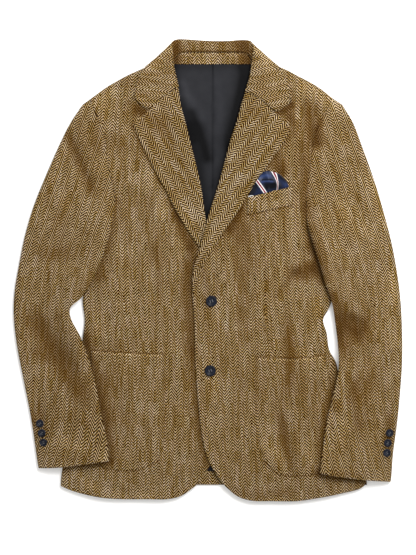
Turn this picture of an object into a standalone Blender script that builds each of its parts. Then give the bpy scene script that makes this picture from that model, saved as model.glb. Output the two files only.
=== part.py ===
"""A two-button tweed jacket with notch lapels and patch pockets, laid flat on its back.

X runs to the right, Y up to the collar, and Z up from the surface that it lies on. The origin is
on that surface, below the middle of the jacket. Left and right are as seen from above.
Each cloth piece is an open sheet, worked out from its outline and from the height that the cloth
has there, and thickened inwards, away from its outer face.
"""

import math

import bmesh
import bpy
import numpy as np

MM = 0.001

# Cloth and layers, in metres.
TWEED = 0.0020
SLEEVE_CLOTH = 0.0018
BACK_CLOTH = 0.0016
LINING_CLOTH = 0.0010
LAPEL_CLOTH = 0.0024
COLLAR_CLOTH = 0.0022
LAYER_GAP = 0.0008
LAPEL_GAP = 0.0012
LINING_LIFT = 0.0010

# A sleeve's seam beside the armhole, and where it turns over at the seam's two ends, in metres.
SLEEVE_SEAM_GAP = 0.0011
SLEEVE_CORNER_GAP = 0.0022
SLEEVE_CORNER = 0.015

# Heights of outer faces above the surface, in metres.
FOLD_HEIGHT = 0.0045
SIDE_HEIGHT = 0.0090
CHEST_HEIGHT = 0.0150
HEM_DROP = 0.0030
SLEEVE_THICKNESS = 0.0115
CUFF_THICKNESS = 0.0095
COLLAR_BED = 0.0026
SLEEVE_REST_GAP = 0.0016

# Where heights change from one level to the next, in metres: from the middle, down from the
# collar, in from the sides, up from the hem and out from the armhole.
BED_ACROSS = (0.128, 0.190)
BED_ALONG = (0.215, 0.330)
CHEST_RISE = (0.004, 0.080)
HEM_SLOPE = (-0.400, -0.320)
HEM_CORNER = 0.060
FOLD_FADE = (-0.010, 0.040)
SLEEVE_CLIMB = (-0.052, 0.003)
UNDERARM_CLIMB = 0.022
UNDERARM_CLOSE = (-0.004, 0.008)
CUFF_SLOPE = (-0.300, 0.0)
SEAM_REACH = 0.040
CURL_UNDER_COLLAR = (0.060, 0.095)

# How far from an edge the cloth takes to turn over it, in metres.
SIDE_TURN = 0.012
SHOULDER_TURN = 0.014
UNDER_TURN = 0.006
SLEEVE_TURN = 0.011

TURN_ANGLES = (0, 7, 45, 90)
EDGE_GAP = 0.0006

# Distances of the rows down an armhole seam, shared by the two pieces that meet there, of the
# columns that follow the rise from the sides, and of those that follow the front edge and hem.
ARMHOLE_ROWS = [0.035, 0.062, 0.090, 0.120, 0.150]
BACK_ARMHOLE_ROWS = [0.035, 0.075, 0.115, 0.150]
SIDE_RISE = [0.028, 0.045, 0.065]
FRONT_RISE = [0.0, 0.014, 0.035, 0.060]
HEM_RISE = [0.0, 0.012, 0.035, 0.060, 0.085]

# The overlap of the fronts.
OVERLAP_DIP = 0.0031
OVERLAP_ACROSS = (-0.085, -0.028)
OVERLAP_ALONG = (0.095, 0.230)
CROSSING = (0.004, 0.050)
CROSSING_SPREAD = (0.040, 0.066)
CROSSING_RISE = 0.0046

# A patch pocket under a sleeve: its sides, how far it fades past them, and its top, in metres.
POCKET_SIDES = {"left": (-0.223, -0.070), "right": (0.078, 0.236)}
POCKET_FADE = 0.020
POCKET_TOP = (-0.130, -0.105)
POCKET_LIFT = 0.0026

CENTRE = 6.0
HEM_FACING_TOP = -349.0
BACK_HEM = -373.5
NECK_FACING_BOTTOM = 361.5
NECK_SEAM = 385.0

# Outlines in millimetres, as (x, y), from the top down.
SHOULDER = {
    "left": [(-207, 302), (-176, 324.5), (-141, 344), (-118, 350.5), (-90, 363), (-64, 375)],
    "right": [(219.5, 303.5), (191.5, 324.5), (155, 344.5), (131, 350.5), (102, 363), (78, 375)],
}
SLEEVE_OUTER = {
    "left": [
        (-219.5, 293), (-240.5, 261.5), (-261.5, 219.5), (-284.5, 167), (-305.5, 114.5), (-321, 62),
        (-331.5, 9.5), (-338.5, -32), (-340.5, -74), (-335, -127), (-323, -190), (-310.5, -253),
        (-298, -337), (-296.5, -344),
    ],
    "right": [
        (235.5, 293), (254.5, 261.5), (270.5, 219.5), (289.5, 167), (305.5, 114.5), (319.5, 62),
        (330, 9.5), (337, -43), (340.5, -102), (340.5, -158), (337, -211), (331.5, -267),
        (324.5, -319.5), (321, -364), (320, -368),
    ],
}
ARMHOLE = {
    "left": [
        (-207, 302), (-193.5, 272), (-181, 244), (-177, 207.5), (-170.5, 169), (-163.5, 139),
        (-162, 123),
    ],
    "right": [
        (219.5, 303.5), (205.5, 277), (193.5, 256), (183, 218), (177, 174), (172.5, 134),
        (172.5, 116),
    ],
}
BACK_ARMHOLE = {
    "left": [(-207, 302), (-191, 256), (-180, 204), (-174, 151), (-170, 120), (-173, 97), (-182, 71)],
    "right": [(219.5, 303.5), (204, 256), (192, 204), (184, 151), (180, 112), (182, 90), (188, 63)],
}
UNDERARM = {
    "left": [(-162, 123), (-171, 97), (-183, 69)],
    "right": [(172.5, 116), (179.5, 90), (188, 62)],
}
SIDE = {
    "left": [
        (-183, 69), (-198.5, 31), (-212.5, -11), (-219.5, -50), (-216, -85), (-219.5, -116),
        (-228.5, -181), (-242.5, -268.5), (-256.5, -354.5), (-258, -375.5),
    ],
    "right": [
        (188, 62), (200.5, 20), (209, -24), (209, -55), (204, -85), (211, -111), (214.5, -141),
        (225, -199), (247.5, -277.5), (274, -352.5), (279, -370),
    ],
}
SLEEVE_INNER = {
    "left": [
        (-162, 123), (-167, 86.5), (-179.5, 37.5), (-197, -8), (-219.5, -44.5), (-240.5, -64),
        (-239, -81.5), (-221.5, -114.5), (-205.5, -158.5), (-195, -198.5), (-184.5, -254.5),
        (-174, -300), (-172.5, -330),
    ],
    "right": [
        (172.5, 116), (173, 88.5), (181, 55), (193.5, 16.5), (204, -20), (212.5, -43), (218, -60.5),
        (224, -93.5), (228.5, -134), (227.5, -165.5), (223, -193.5), (214.5, -226.5), (205.5, -268.5),
        (198, -321), (194.5, -351),
    ],
}
CUFF = {
    "left": [(-296.5, -344), (-258, -342), (-214.5, -336), (-172.5, -330)],
    "right": [(320, -368), (263.5, -363), (218, -356), (194.5, -351)],
}
ROLL_LINE = {
    "left": [
        (-64, 375), (-55, 356), (-46.5, 312.5), (-41, 279), (-29, 219.5), (-16.5, 162), (-2.5, 88.5),
        (11.5, 53.5), (25.5, 23.5),
    ],
    "right": [
        (78, 375), (72.5, 356), (64, 312.5), (57, 279), (32.5, 188), (6, 104), (-2.5, 86.5),
        (-13, 44.5), (-22, 16.5),
    ],
}
FRONT_EDGE = {
    "left": [
        (25.5, 23.5), (32.5, -23.5), (36, -92), (34, -153), (29, -233.5), (22, -291.5), (9.5, -330),
        (-22, -375.5),
    ],
    "right": [
        (-22, 16.5), (-27, -23.5), (-23.5, -92), (-22.5, -153), (-16.5, -233.5), (-9.5, -291.5),
        (2.5, -333.5), (30.5, -375.5),
    ],
}
HEM = {
    "left": [
        (-258, -375.5), (-237, -384), (-211, -391), (-183, -396), (-150, -398), (-100.5, -398),
        (-71, -398), (-48, -393), (-22, -375.5),
    ],
    "right": [
        (279, -370), (267, -379.5), (233.5, -388.5), (188, -397), (156.5, -401.5), (109.5, -401.5),
        (74.5, -400.5), (51.5, -393), (30.5, -375.5),
    ],
}
LAPEL_ROLL = {"left": ROLL_LINE["left"][2:-1], "right": ROLL_LINE["right"][2:]}
LAPEL_OUTER = {
    "left": [(-128.5, 256.5), (-111, 214.5), (-81.5, 144.5), (-50, 90), (-16.5, 44.5), (-9, 39)],
    "right": [
        (144.5, 251), (100.5, 174), (67.5, 128.5), (39.5, 86.5), (27, 74.5), (11.5, 50), (2.5, 34),
        (-15, 11),
    ],
}
GORGE = {
    "left": [(-46.5, 312.5), (-62, 309), (-104, 281)],
    "right": [(64, 312.5), (74.5, 309), (118, 279)],
}
POCKET = {
    "left": dict(
        top=[(-204, -138), (-181, -140), (-135.5, -142.5), (-78, -145)],
        outer=[(-204, -138), (-205, -225), (-208, -295), (-197, -332)],
        inner=[(-78, -145), (-78, -225), (-78, -295), (-87, -330)],
        bottom=[(-197, -332), (-179.5, -342), (-141, -347.5), (-118, -344), (-87, -330)],
    ),
    "right": dict(
        top=[(202, -144), (195, -148), (162, -151.5), (116.5, -151.5), (86.5, -149.5)],
        outer=[(202, -144), (214, -199), (226, -278), (220, -331)],
        inner=[(86.5, -149.5), (85, -225), (87.5, -285), (99, -330)],
        bottom=[(220, -331), (193.5, -351), (162, -356), (139, -356), (120, -351), (99, -330)],
    ),
}
WELT = dict(
    top=[(70, 130), (149.5, 149)],
    left=[(70, 130), (69, 99.5)],
    right=[(149.5, 149), (147, 116.5)],
    bottom=[(69, 99.5), (147, 116.5)],
)
SQUARE = dict(
    top=[(95, 161.5), (101.5, 174), (109.5, 174.5), (119, 173), (131, 164.5)],
    left=[(95, 161.5), (74, 131.5)],
    right=[(131, 164.5), (140, 154.5), (143.5, 148)],
    bottom=[(74, 131.5), (143.5, 148)],
)

# Inside the back: the lining's sides, and the left and right x of the strips above and below it.
LINING_SIDE = {
    "left": [
        (-66, 361.5), (-120, 335), (-188, 290), (-168, 200), (-158, 120), (-176, 60), (-204, -30),
        (-208, -90), (-222, -200), (-245, -349),
    ],
    "right": [
        (78, 361.5), (132, 335), (200, 291), (180, 200), (168, 118), (180, 60), (198, -30),
        (195, -85), (218, -200), (262, -349),
    ],
}
STAND_WIDTH = (-44, 56)
NECK_WIDTH = (-66, 78)
HEM_WIDTH = (-245, 262)
TURN_UP_WIDTH = (-248, 266)
FACING_GAP = 0.3

# The largest hollows pressed into the cloth: from, to, half width and depth, in millimetres.
FOLDS = [
    dict(start=(-300, -90), end=(-222, -178), width=24, depth=2.2),
    dict(start=(240, -80), end=(262, -125), width=20, depth=2.0),
    dict(start=(180, 2), end=(115, -45), width=18, depth=1.6),
    dict(start=(-232, 240), end=(-184, 132), width=18, depth=1.8),
    dict(start=(192, 215), end=(198, 245), width=20, depth=1.6),
]

# The collar, one row for each station from the lapel seam round to the middle of the back.
# roll is where it turns over, edge its outer edge and seam its inner one, in millimetres.
# turn is how far it has gone round the shoulder: 90 lies on the front, -90 behind the back.
COLLAR = [
    dict(
        roll=(-46.5, 313.5), by=[(-62, 310), (-104, 282)], edge=(-132, 303.5),
        seam=(-48.5, 314), seam_z=11.5, turn=90,
    ),
    dict(roll=(-51.5, 338), edge=(-130, 322), seam=(-53, 338), seam_z=11.5, turn=90),
    dict(roll=(-55.5, 360), edge=(-125.5, 338), seam=(-55, 358), seam_z=11.0, turn=90),
    dict(roll=(-60.5, 383), edge=(-120.5, 350.5), seam=(-56, 371), seam_z=9.5, turn=90),
    dict(roll=(-64.5, 392), edge=(-119, 355.7), seam=(-53, 379), seam_z=8.2, turn=42),
    dict(roll=(-68, 397.5), edge=(-118.5, 357.5), seam=(-48, 383.5), seam_z=7.0, turn=0),
    dict(roll=(-65.5, 400.5), edge=(-117.4, 356), seam=(-42, 385), seam_z=6.6, turn=-42),
    dict(roll=(-58, 401.5), edge=(-113.5, 351.5), seam=(-36, 385.5), seam_z=6.4, turn=-90),
    dict(roll=(-44, 401.5), edge=(-98, 342), seam=(-28, 385.5), seam_z=6.4, turn=-90),
    dict(roll=(-24, 401.5), edge=(-60, 336), seam=(-16, 385.5), seam_z=6.4, turn=-90),
    dict(roll=(6, 401.5), edge=(6, 335), seam=(6, 385.5), seam_z=6.4, turn=-90),
]
FALL_SHARES = (0.03, 0.09, 0.25, 0.45, 0.653, 0.83, 1.0)
STAND_SHARE = 0.85
STAND_RISE = 0.7
STAND_TOP = 0.0064
STAND_CURVE = 0.0007
ROLL_DROP = 0.003
ROLL_REACH = 0.012
BACK_ROLL = 0.004
COLLAR_LIP = 0.6
LAPEL_LIP = 0.0050
LAPEL_TURN = 0.0065
LIP_START = (0.030, 0.150)

FRONT_BUTTON = dict(radius=0.0096, height=0.0040, gap=0.0006)
CUFF_BUTTON = dict(radius=0.0069, height=0.0032, gap=0.0010)
FRONT_BUTTONS = [(7, -53), (5, -174.5)]
CUFF_BUTTONS = {
    "left": [(-294, -265.5), (-290.5, -282), (-287.5, -298)],
    "right": [(317, -282), (314.5, -299.5), (312.5, -317)],
}
BUTTON_PROFILE = [
    (0.0, 0.62), (0.62, 0.66), (0.74, 0.98), (0.88, 1.0), (1.0, 0.62), (0.94, 0.18), (0.62, 0.0),
    (0.0, 0.0),
]
BUTTON_SIDES = 16

COLOURS = {
    "tweed": dict(colour=(0.27, 0.165, 0.055, 1), roughness=0.95, metallic=0.0),
    "lining": dict(colour=(0.028, 0.028, 0.032, 1), roughness=0.45, metallic=0.0),
    "satin": dict(colour=(0.016, 0.022, 0.065, 1), roughness=0.38, metallic=0.0),
    "button": dict(colour=(0.012, 0.014, 0.024, 1), roughness=0.22, metallic=0.0),
}


# ---- curves and sheets -------------------------------------------------------------------------


def smooth_line(points, steps=10):
    """A centripetal curve through points in millimetres, as a dense polyline in metres."""
    p = np.array(points, float) * MM
    if len(p) == 2:
        return np.linspace(p[0], p[1], steps + 1)
    p = np.vstack([2 * p[0] - p[1], p, 2 * p[-1] - p[-2]])
    line = [p[1]]
    for a, b, c, d in zip(p[:-3], p[1:-2], p[2:-1], p[3:]):
        ta = math.sqrt(np.linalg.norm(b - a))
        tb = ta + math.sqrt(np.linalg.norm(c - b))
        tc = tb + math.sqrt(np.linalg.norm(d - c))
        for t in np.linspace(ta, tb, steps + 1)[1:]:
            ab = a + (b - a) * t / ta
            bc = b + (c - b) * (t - ta) / (tb - ta)
            cd = c + (d - c) * (t - tb) / (tc - tb)
            abc = ab + (bc - ab) * t / tb
            bcd = bc + (cd - bc) * (t - ta) / (tc - ta)
            line.append(abc + (bcd - abc) * (t - ta) / (tb - ta))
    return np.array(line)


def straight_line(points):
    return np.array(points, float) * MM


def along(line):
    """A function that gives the point of a polyline at a share t of its length."""
    length = np.concatenate([[0], np.cumsum(np.linalg.norm(np.diff(line, axis=0), axis=1))])
    share = length / length[-1]

    def at(t):
        return np.stack([np.interp(t, share, line[:, k]) for k in range(line.shape[1])], axis=-1)

    return at


def length_of(line):
    return np.linalg.norm(np.diff(line, axis=0), axis=1).sum()


def joined(*tables):
    """One line through several tables, each a smooth stretch of its own that starts at the last."""
    lines = [smooth_line(table) for table in tables]
    return np.vstack([lines[0]] + [line[1:] for line in lines[1:]])


def distance(x, y, line):
    """Distance in the plane from each point to a polyline."""
    a, step = line[:-1], np.diff(line, axis=0)
    px = np.asarray(x)[..., None] - a[:, 0]
    py = np.asarray(y)[..., None] - a[:, 1]
    t = np.clip((px * step[:, 0] + py * step[:, 1]) / (step**2).sum(axis=1), 0, 1)
    return np.sqrt(((px - t * step[:, 0]) ** 2 + (py - t * step[:, 1]) ** 2).min(axis=-1))


def ease(value, low, high):
    """0 below low, 1 above high and smooth between."""
    t = np.clip((value - low) / (high - low), 0, 1)
    return t * t * (3 - 2 * t)


def quarter(t):
    """The height of a quarter circle at a share t of its reach."""
    return np.sqrt(np.clip(1 - (1 - np.clip(t, 0, 1)) ** 2, 0, 1))


def shares(length, count, first=(), last=()):
    """Places from 0 to 1 along a length: given distances from either end, and even ones between."""
    head = np.array(first) / length
    tail = 1 - np.array(last)[::-1] / length
    low = head[-1] if len(head) else -1.0 / count
    high = tail[0] if len(tail) else 1 + 1.0 / count
    if not len(head) or not len(tail):
        low, high = (0 if not len(head) else low), (1 if not len(tail) else high)
        middle = np.linspace(low, high, count + 2)
        middle = middle[1 if len(head) else 0 : -1 if len(tail) else None]
    else:
        middle = np.linspace(low, high, count + 2)[1:-1]
    return np.concatenate([head, middle, tail])


def turn_steps(reach):
    """Distances from an edge that step round the turn there. The first step is nearly upright."""
    return [reach * (1 - math.cos(math.radians(angle))) for angle in TURN_ANGLES]


def blend_patch(top, bottom, left, right, u, v):
    """A Coons patch: the plane surface inside four boundary lines, at shares u across and v down."""
    top_at, bottom_at, left_at, right_at = (along(line) for line in (top, bottom, left, right))
    a, b = u[..., None], v[..., None]
    sides = (1 - a) * left_at(v) + a * right_at(v)
    ends = (1 - b) * top_at(u) + b * bottom_at(u)
    corners = (
        (1 - a) * (1 - b) * top[0]
        + a * (1 - b) * top[-1]
        + (1 - a) * b * bottom[0]
        + a * b * bottom[-1]
    )
    return sides + ends - corners


def patch_grid(top, bottom, left, right, columns, rows, turns=((), ()), row_turns=((), ())):
    """x and y of a patch's grid, with columns and rows crowded where the cloth turns.

    The rows' distances are measured down the left line."""
    v = shares(length_of(left), rows, *row_turns)
    left_points, right_points = along(left)(v), along(right)(v)
    wide = np.maximum(np.linalg.norm(left_points - right_points, axis=1), 0.03)
    u = np.array([shares(width, columns, *turns) for width in wide])
    xy = blend_patch(top, bottom, left, right, u, np.repeat(v[:, None], u.shape[1], axis=1))
    return xy[..., 0], xy[..., 1]


def make_material(name):
    finish = COLOURS[name]
    material = bpy.data.materials.new(name)
    material.use_nodes = True
    shader = material.node_tree.nodes["Principled BSDF"]
    shader.inputs["Base Color"].default_value = finish["colour"]
    shader.inputs["Roughness"].default_value = finish["roughness"]
    shader.inputs["Metallic"].default_value = finish["metallic"]
    material.diffuse_color = finish["colour"]
    return material


def add_sheet(name, x, y, z, thickness, finish, outer_up=True, facing_rows=0):
    """A cloth piece: its outer face as a grid of points, thickened inwards."""
    rows, columns = x.shape
    mesh = bpy.data.meshes.new(name)
    shape = bmesh.new()
    grid = [
        [shape.verts.new((x[i, j], y[i, j], z[i, j])) for j in range(columns)] for i in range(rows)
    ]
    for i in range(rows - 1):
        for j in range(columns - 1):
            corners = [grid[i][j], grid[i + 1][j], grid[i + 1][j + 1], grid[i][j + 1]]
            shape.faces.new(corners)
    shape.normal_update()
    first = list(shape.faces)[: facing_rows * (columns - 1) if facing_rows else None]
    upward = sum(face.normal.z * face.calc_area() for face in first)
    if (upward > 0) != outer_up:
        bmesh.ops.reverse_faces(shape, faces=shape.faces)
    shape.to_mesh(mesh)
    shape.free()
    mesh.shade_smooth()
    mesh.materials.append(MATERIALS[finish])
    piece = bpy.data.objects.new(name, mesh)
    JACKET.objects.link(piece)
    shell = piece.modifiers.new("Cloth thickness", "SOLIDIFY")
    shell.thickness = thickness
    shell.offset = -1.0
    return piece


# ---- heights -----------------------------------------------------------------------------------


def side_lines(side):
    """The lines of one side that heights are measured from, in metres."""
    shoulder = smooth_line(SHOULDER[side])
    outer = smooth_line(SLEEVE_OUTER[side])
    return dict(
        outline=np.vstack([shoulder[::-1], outer]),
        pressed=smooth_line(UNDERARM[side] + SIDE[side][1:]),
        side=smooth_line(SIDE[side]),
        armhole=smooth_line(ARMHOLE[side]),
        inner=smooth_line(SLEEVE_INNER[side]),
        low_end=ARMHOLE[side][-1][1] * MM,
    )


LINES = {side: side_lines(side) for side in ("left", "right")}


def bed(x, y):
    """How far the back and all on it are lifted by the collar's fall, which lies behind the neck."""
    across = 1 - ease(np.abs(x - CENTRE * MM), *BED_ACROSS)
    return COLLAR_BED * across * ease(y, *BED_ALONG)


def fold_depth(x, y):
    """The depth of the pressed hollows at each point."""
    depth = np.zeros(np.shape(x))
    for fold in FOLDS:
        line = np.array([fold["start"], fold["end"]]) * MM
        away = distance(x, y, line) / (fold["width"] * MM)
        depth += fold["depth"] * MM * np.exp(-(away**2))
    return depth


def body_height(x, y):
    """The fronts' upper face before their sides turn down: low at the sides and hem."""
    away = np.minimum(*(distance(x, y, LINES[side]["pressed"]) for side in LINES))
    height = SIDE_HEIGHT + (CHEST_HEIGHT - SIDE_HEIGHT) * ease(away, *CHEST_RISE)
    height = height - HEM_DROP * (1 - ease(y, *HEM_SLOPE)) * ease(away, 0, HEM_CORNER)
    return height - fold_depth(x, y) * ease(away, *FOLD_FADE)


def turned_at(x, y, height, edge_height, lines, reach):
    """The height with the cloth turned down to edge_height along these lines."""
    for line in lines:
        height = edge_height + (height - edge_height) * quarter(distance(x, y, line) / reach)
    return height


def loft(x, y):
    """The fronts' upper face, turned down along the shoulders and the sides."""
    edge = FOLD_HEIGHT + EDGE_GAP + bed(x, y)
    shoulders = [LINES["left"]["outline"], LINES["right"]["outline"]]
    sides = [LINES["left"]["side"], LINES["right"]["side"]]
    height = turned_at(x, y, body_height(x, y), edge, sides, SIDE_TURN)
    return turned_at(x, y, height, edge, shoulders, SHOULDER_TURN)


def left_front_height(x, y):
    """The left front dips to pass under the right one."""
    dip = ease(x, *OVERLAP_ACROSS) * (1 - ease(y, *OVERLAP_ALONG))
    return loft(x, y) - OVERLAP_DIP * dip


def right_front_height(x, y):
    """The right front rises over the left lapel where they cross."""
    across = (x - CROSSING[0]) / CROSSING_SPREAD[0]
    along_it = (y - CROSSING[1]) / CROSSING_SPREAD[1]
    return loft(x, y) + CROSSING_RISE * np.exp(-(across**2) - along_it**2)


def front_height(side):
    return left_front_height if side == "left" else right_front_height


def into_body(x, y, side):
    """Distance past the body's side line, positive over the body."""
    line = LINES[side]["pressed"]
    edge = np.interp(-y, -line[:, 1], line[:, 0])
    inside = x > edge if side == "left" else x < edge
    return distance(x, y, line) * np.where(inside, 1, -1)


def pocket_rise(x, y, side):
    """What a patch pocket adds to the height that a sleeve lies on."""
    low, high = POCKET_SIDES[side]
    rise = ease(x, low - POCKET_FADE, low) * (1 - ease(x, high, high + POCKET_FADE))
    return POCKET_LIFT * rise * (1 - ease(y, *POCKET_TOP))


def sleeve_rest(x, y, side):
    """The height that a sleeve's lower face rests at: the surface, or the body it lies over."""
    over = body_height(x, y) + pocket_rise(x, y, side) + SLEEVE_REST_GAP
    below = ease(LINES[side]["low_end"] - y, 0, UNDERARM_CLIMB)
    return below * over * ease(into_body(x, y, side), *SLEEVE_CLIMB)


def sleeve_thickness(y):
    return CUFF_THICKNESS + (SLEEVE_THICKNESS - CUFF_THICKNESS) * ease(y, *CUFF_SLOPE)


def seam_share(x, y, side):
    """1 at the armhole seam, where the sleeve is as high as the front, and 0 away from it."""
    return 1 - ease(distance(x, y, LINES[side]["armhole"]), 0, SEAM_REACH)


def below_armhole(y, side):
    return ease(LINES[side]["low_end"] - y, *UNDERARM_CLOSE)


def sleeve_top_height(x, y, side):
    """The upper face of a sleeve, turned down along its outer and inner edges."""
    lines = LINES[side]
    full = sleeve_thickness(y) - fold_depth(x, y)
    outer = quarter(distance(x, y, lines["outline"]) / SLEEVE_TURN)
    inner = quarter(distance(x, y, lines["inner"]) / SLEEVE_TURN)
    edge = FOLD_HEIGHT + EDGE_GAP
    tube = sleeve_rest(x, y, side) + edge + (full - edge) * outer * inner
    share = seam_share(x, y, side)
    return share * loft(x, y) + (1 - share) * tube


def sleeve_under_height(x, y, side):
    """The lower face of a sleeve, turned up along its edges."""
    lines = LINES[side]
    outer = 1 - quarter(distance(x, y, lines["outline"]) / UNDER_TURN)
    inner = 1 - quarter(distance(x, y, lines["inner"]) / UNDER_TURN)
    curl = np.maximum(outer, inner * below_armhole(y, side))
    return sleeve_rest(x, y, side) + (FOLD_HEIGHT - EDGE_GAP) * curl


def back_height(x, y):
    """The lower face of the back, flat, turned up along the sides and shoulders."""
    curl = np.zeros(np.shape(x))
    for side in LINES:
        curl = np.maximum(curl, 1 - quarter(distance(x, y, LINES[side]["side"]) / UNDER_TURN))
        curl = np.maximum(curl, 1 - quarter(distance(x, y, LINES[side]["outline"]) / UNDER_TURN))
    collar_over = ease(np.abs(x - CENTRE * MM), *CURL_UNDER_COLLAR)
    return bed(x, y) + (FOLD_HEIGHT - EDGE_GAP) * curl * collar_over


# ---- pieces ------------------------------------------------------------------------------------


def shifted(line, dx, dy=0.0):
    return line + np.array([dx, dy]) * MM


def outward(side):
    return -1 if side == "left" else 1


def make_front(side):
    """A front: shoulder, armhole and side, hem, then the front edge and the lapel's turn."""
    sign = outward(side)
    roll = shifted(smooth_line(ROLL_LINE[side]), LAPEL_TURN / MM * sign)
    edge = smooth_line(FRONT_EDGE[side])
    roll[-10:] += (edge[0] - roll[-1]) * np.linspace(0.1, 1, 10)[:, None]
    inner = np.vstack([roll, edge[1:]])
    outer = joined(ARMHOLE[side], UNDERARM[side] + SIDE[side][1:])
    top = smooth_line(SHOULDER[side])
    top[-1] = inner[0]
    bottom = smooth_line(HEM[side])
    turns = (turn_steps(SIDE_TURN) + SIDE_RISE, FRONT_RISE)
    rows = turn_steps(SHOULDER_TURN) + ARMHOLE_ROWS + [length_of(smooth_line(ARMHOLE[side]))]
    x, y = patch_grid(top, bottom, outer, inner, 2, 5, turns, (rows, HEM_RISE))
    z = front_height(side)(x, y)
    add_sheet(f"front_{side}", x, y, z, TWEED, "tweed")


def make_back(side):
    """Half of the back, up to the centre seam."""
    sign = outward(side)
    outer = joined(BACK_ARMHOLE[side][:5], BACK_ARMHOLE[side][4:-1] + SIDE[side])
    outer[-1, 1] = BACK_HEM * MM
    neck = [SHOULDER[side][-1], (CENTRE + 30 * sign, NECK_SEAM - 1), (CENTRE + 0.15 * sign, NECK_SEAM - 1)]
    top = np.vstack([smooth_line(SHOULDER[side]), smooth_line(neck)[1:]])
    centre = smooth_line([(CENTRE + 0.15 * sign, NECK_SEAM - 1), (CENTRE + 0.15 * sign, BACK_HEM)])
    bottom = smooth_line([tuple(outer[-1] / MM), (CENTRE + 0.15 * sign, BACK_HEM)])
    turns = (turn_steps(UNDER_TURN), ())
    rows = turn_steps(UNDER_TURN) + BACK_ARMHOLE_ROWS
    rows.append(length_of(smooth_line(BACK_ARMHOLE[side][:5])))
    x, y = patch_grid(top, bottom, outer, centre, 5, 6, turns, (rows, ()))
    add_sheet(f"back_{side}", x, y, back_height(x, y), BACK_CLOTH, "tweed", outer_up=False)


def make_flat_layer(name, corners, columns, rows, thickness, finish):
    """A layer inside the back: corners are top left, top right, bottom left and bottom right."""
    lines = [smooth_line(corners[k]) for k in ("top", "bottom", "left", "right")]
    x, y = patch_grid(*lines, columns, rows)
    z = bed(x, y) + BACK_CLOTH + LINING_LIFT + thickness
    add_sheet(name, x, y, z, thickness, finish)


def strip(top, bottom, ends):
    """The outline of a straight strip, from its left and right x at the top and at the bottom."""
    (a, b), (c, d), (high, low) = top, bottom, ends
    return dict(
        top=[(a, high), (b, high)], bottom=[(c, low), (d, low)],
        left=[(a, high), (c, low)], right=[(b, high), (d, low)],
    )


def make_inside():
    """What lies on the back inside the jacket: the lining and the two tweed facings."""
    corners = strip(NECK_WIDTH, HEM_WIDTH, (NECK_FACING_BOTTOM, HEM_FACING_TOP)) | LINING_SIDE
    make_flat_layer("lining_back", corners, 4, 10, LINING_CLOTH, "lining")
    ends = (NECK_SEAM - 1, NECK_FACING_BOTTOM + FACING_GAP)
    make_flat_layer("neck_facing", strip(STAND_WIDTH, NECK_WIDTH, ends), 4, 2, BACK_CLOTH, "tweed")
    ends = (HEM_FACING_TOP - FACING_GAP, BACK_HEM)
    make_flat_layer("hem_facing", strip(HEM_WIDTH, TURN_UP_WIDTH, ends), 5, 2, BACK_CLOTH, "tweed")


def beside_seam(line, seam, sign, at_top):
    """A sleeve's inner line moved clear of the armhole seam, and further where that seam ends."""
    top, low = seam[0][1] * MM, seam[-1][1] * MM
    y = line[:, 1]
    corner = 1 - ease(y, low, low + SLEEVE_CORNER)
    if at_top:
        corner = np.maximum(corner, ease(y, top - SLEEVE_CORNER, top))
    gap = SLEEVE_SEAM_GAP + (SLEEVE_CORNER_GAP - SLEEVE_SEAM_GAP) * corner
    return line + np.stack([gap * sign, 0 * gap], axis=-1)


def past_underarm(seam):
    """Distances of the rows where a sleeve leaves its armhole seam and climbs onto the body."""
    end = length_of(smooth_line(seam))
    return [end, end + 0.016, end + 0.034]


def make_sleeve(side):
    """The top and under halves of a sleeve, seamed along its outer and inner edges."""
    outer = smooth_line(SLEEVE_OUTER[side])
    top = smooth_line([SHOULDER[side][0], SLEEVE_OUTER[side][0]])
    cuff = smooth_line(CUFF[side])
    sign = outward(side)
    seam = beside_seam(joined(ARMHOLE[side], SLEEVE_INNER[side]), ARMHOLE[side], sign, True)
    top[0] = seam[0]
    cuff[-1] = seam[-1]
    turns = (turn_steps(SLEEVE_TURN), turn_steps(SLEEVE_TURN))
    rows = turn_steps(SHOULDER_TURN) + ARMHOLE_ROWS + past_underarm(ARMHOLE[side])
    x, y = patch_grid(top, cuff[::-1], seam, outer, 4, 8, turns, (rows, ()))
    z = sleeve_top_height(x, y, side)
    add_sheet(f"sleeve_top_{side}", x, y, z, SLEEVE_CLOTH, "tweed")

    hidden = joined(BACK_ARMHOLE[side][:5], [BACK_ARMHOLE[side][4]] + SLEEVE_INNER[side][1:])
    hidden = beside_seam(hidden, BACK_ARMHOLE[side][:5], sign, False)
    top[0] = hidden[0]
    cuff[-1] = hidden[-1]
    turns = (turn_steps(UNDER_TURN), turn_steps(UNDER_TURN))
    rows = turn_steps(UNDER_TURN) + BACK_ARMHOLE_ROWS + past_underarm(BACK_ARMHOLE[side][:5])
    x, y = patch_grid(top, cuff[::-1], hidden, outer, 4, 8, turns, (rows, ()))
    z = sleeve_under_height(x, y, side)
    add_sheet(f"sleeve_under_{side}", x, y, z, BACK_CLOTH, "tweed", outer_up=False)


def lapel_lip(away):
    """How far a lapel or the collar has turned down at this distance from its fold."""
    return LAPEL_LIP * (1 - quarter(away / LAPEL_TURN))


def make_lapel(side):
    """A lapel lying on its front, turned down along the roll line."""
    sign = outward(side)
    roll = smooth_line(LAPEL_ROLL[side])
    gorge = straight_line(GORGE[side] + [LAPEL_OUTER[side][0]])
    gorge = shifted(gorge, 0, -1.0)
    roll[0] = gorge[0]
    outer = smooth_line(LAPEL_OUTER[side])
    outer[0] = gorge[-1]
    end = np.linspace(roll[-1], outer[-1], 4)
    turns = (turn_steps(LAPEL_TURN), ())
    x, y = patch_grid(gorge, end, roll, outer, 4, 10, turns)
    lip = lapel_lip(distance(x, y, roll)) * ease(y, *LIP_START)
    z = front_height(side)(x, y) + LAPEL_GAP + LAPEL_CLOTH - lip
    add_sheet(f"lapel_{side}", x, y, z, LAPEL_CLOTH, "tweed")


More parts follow.
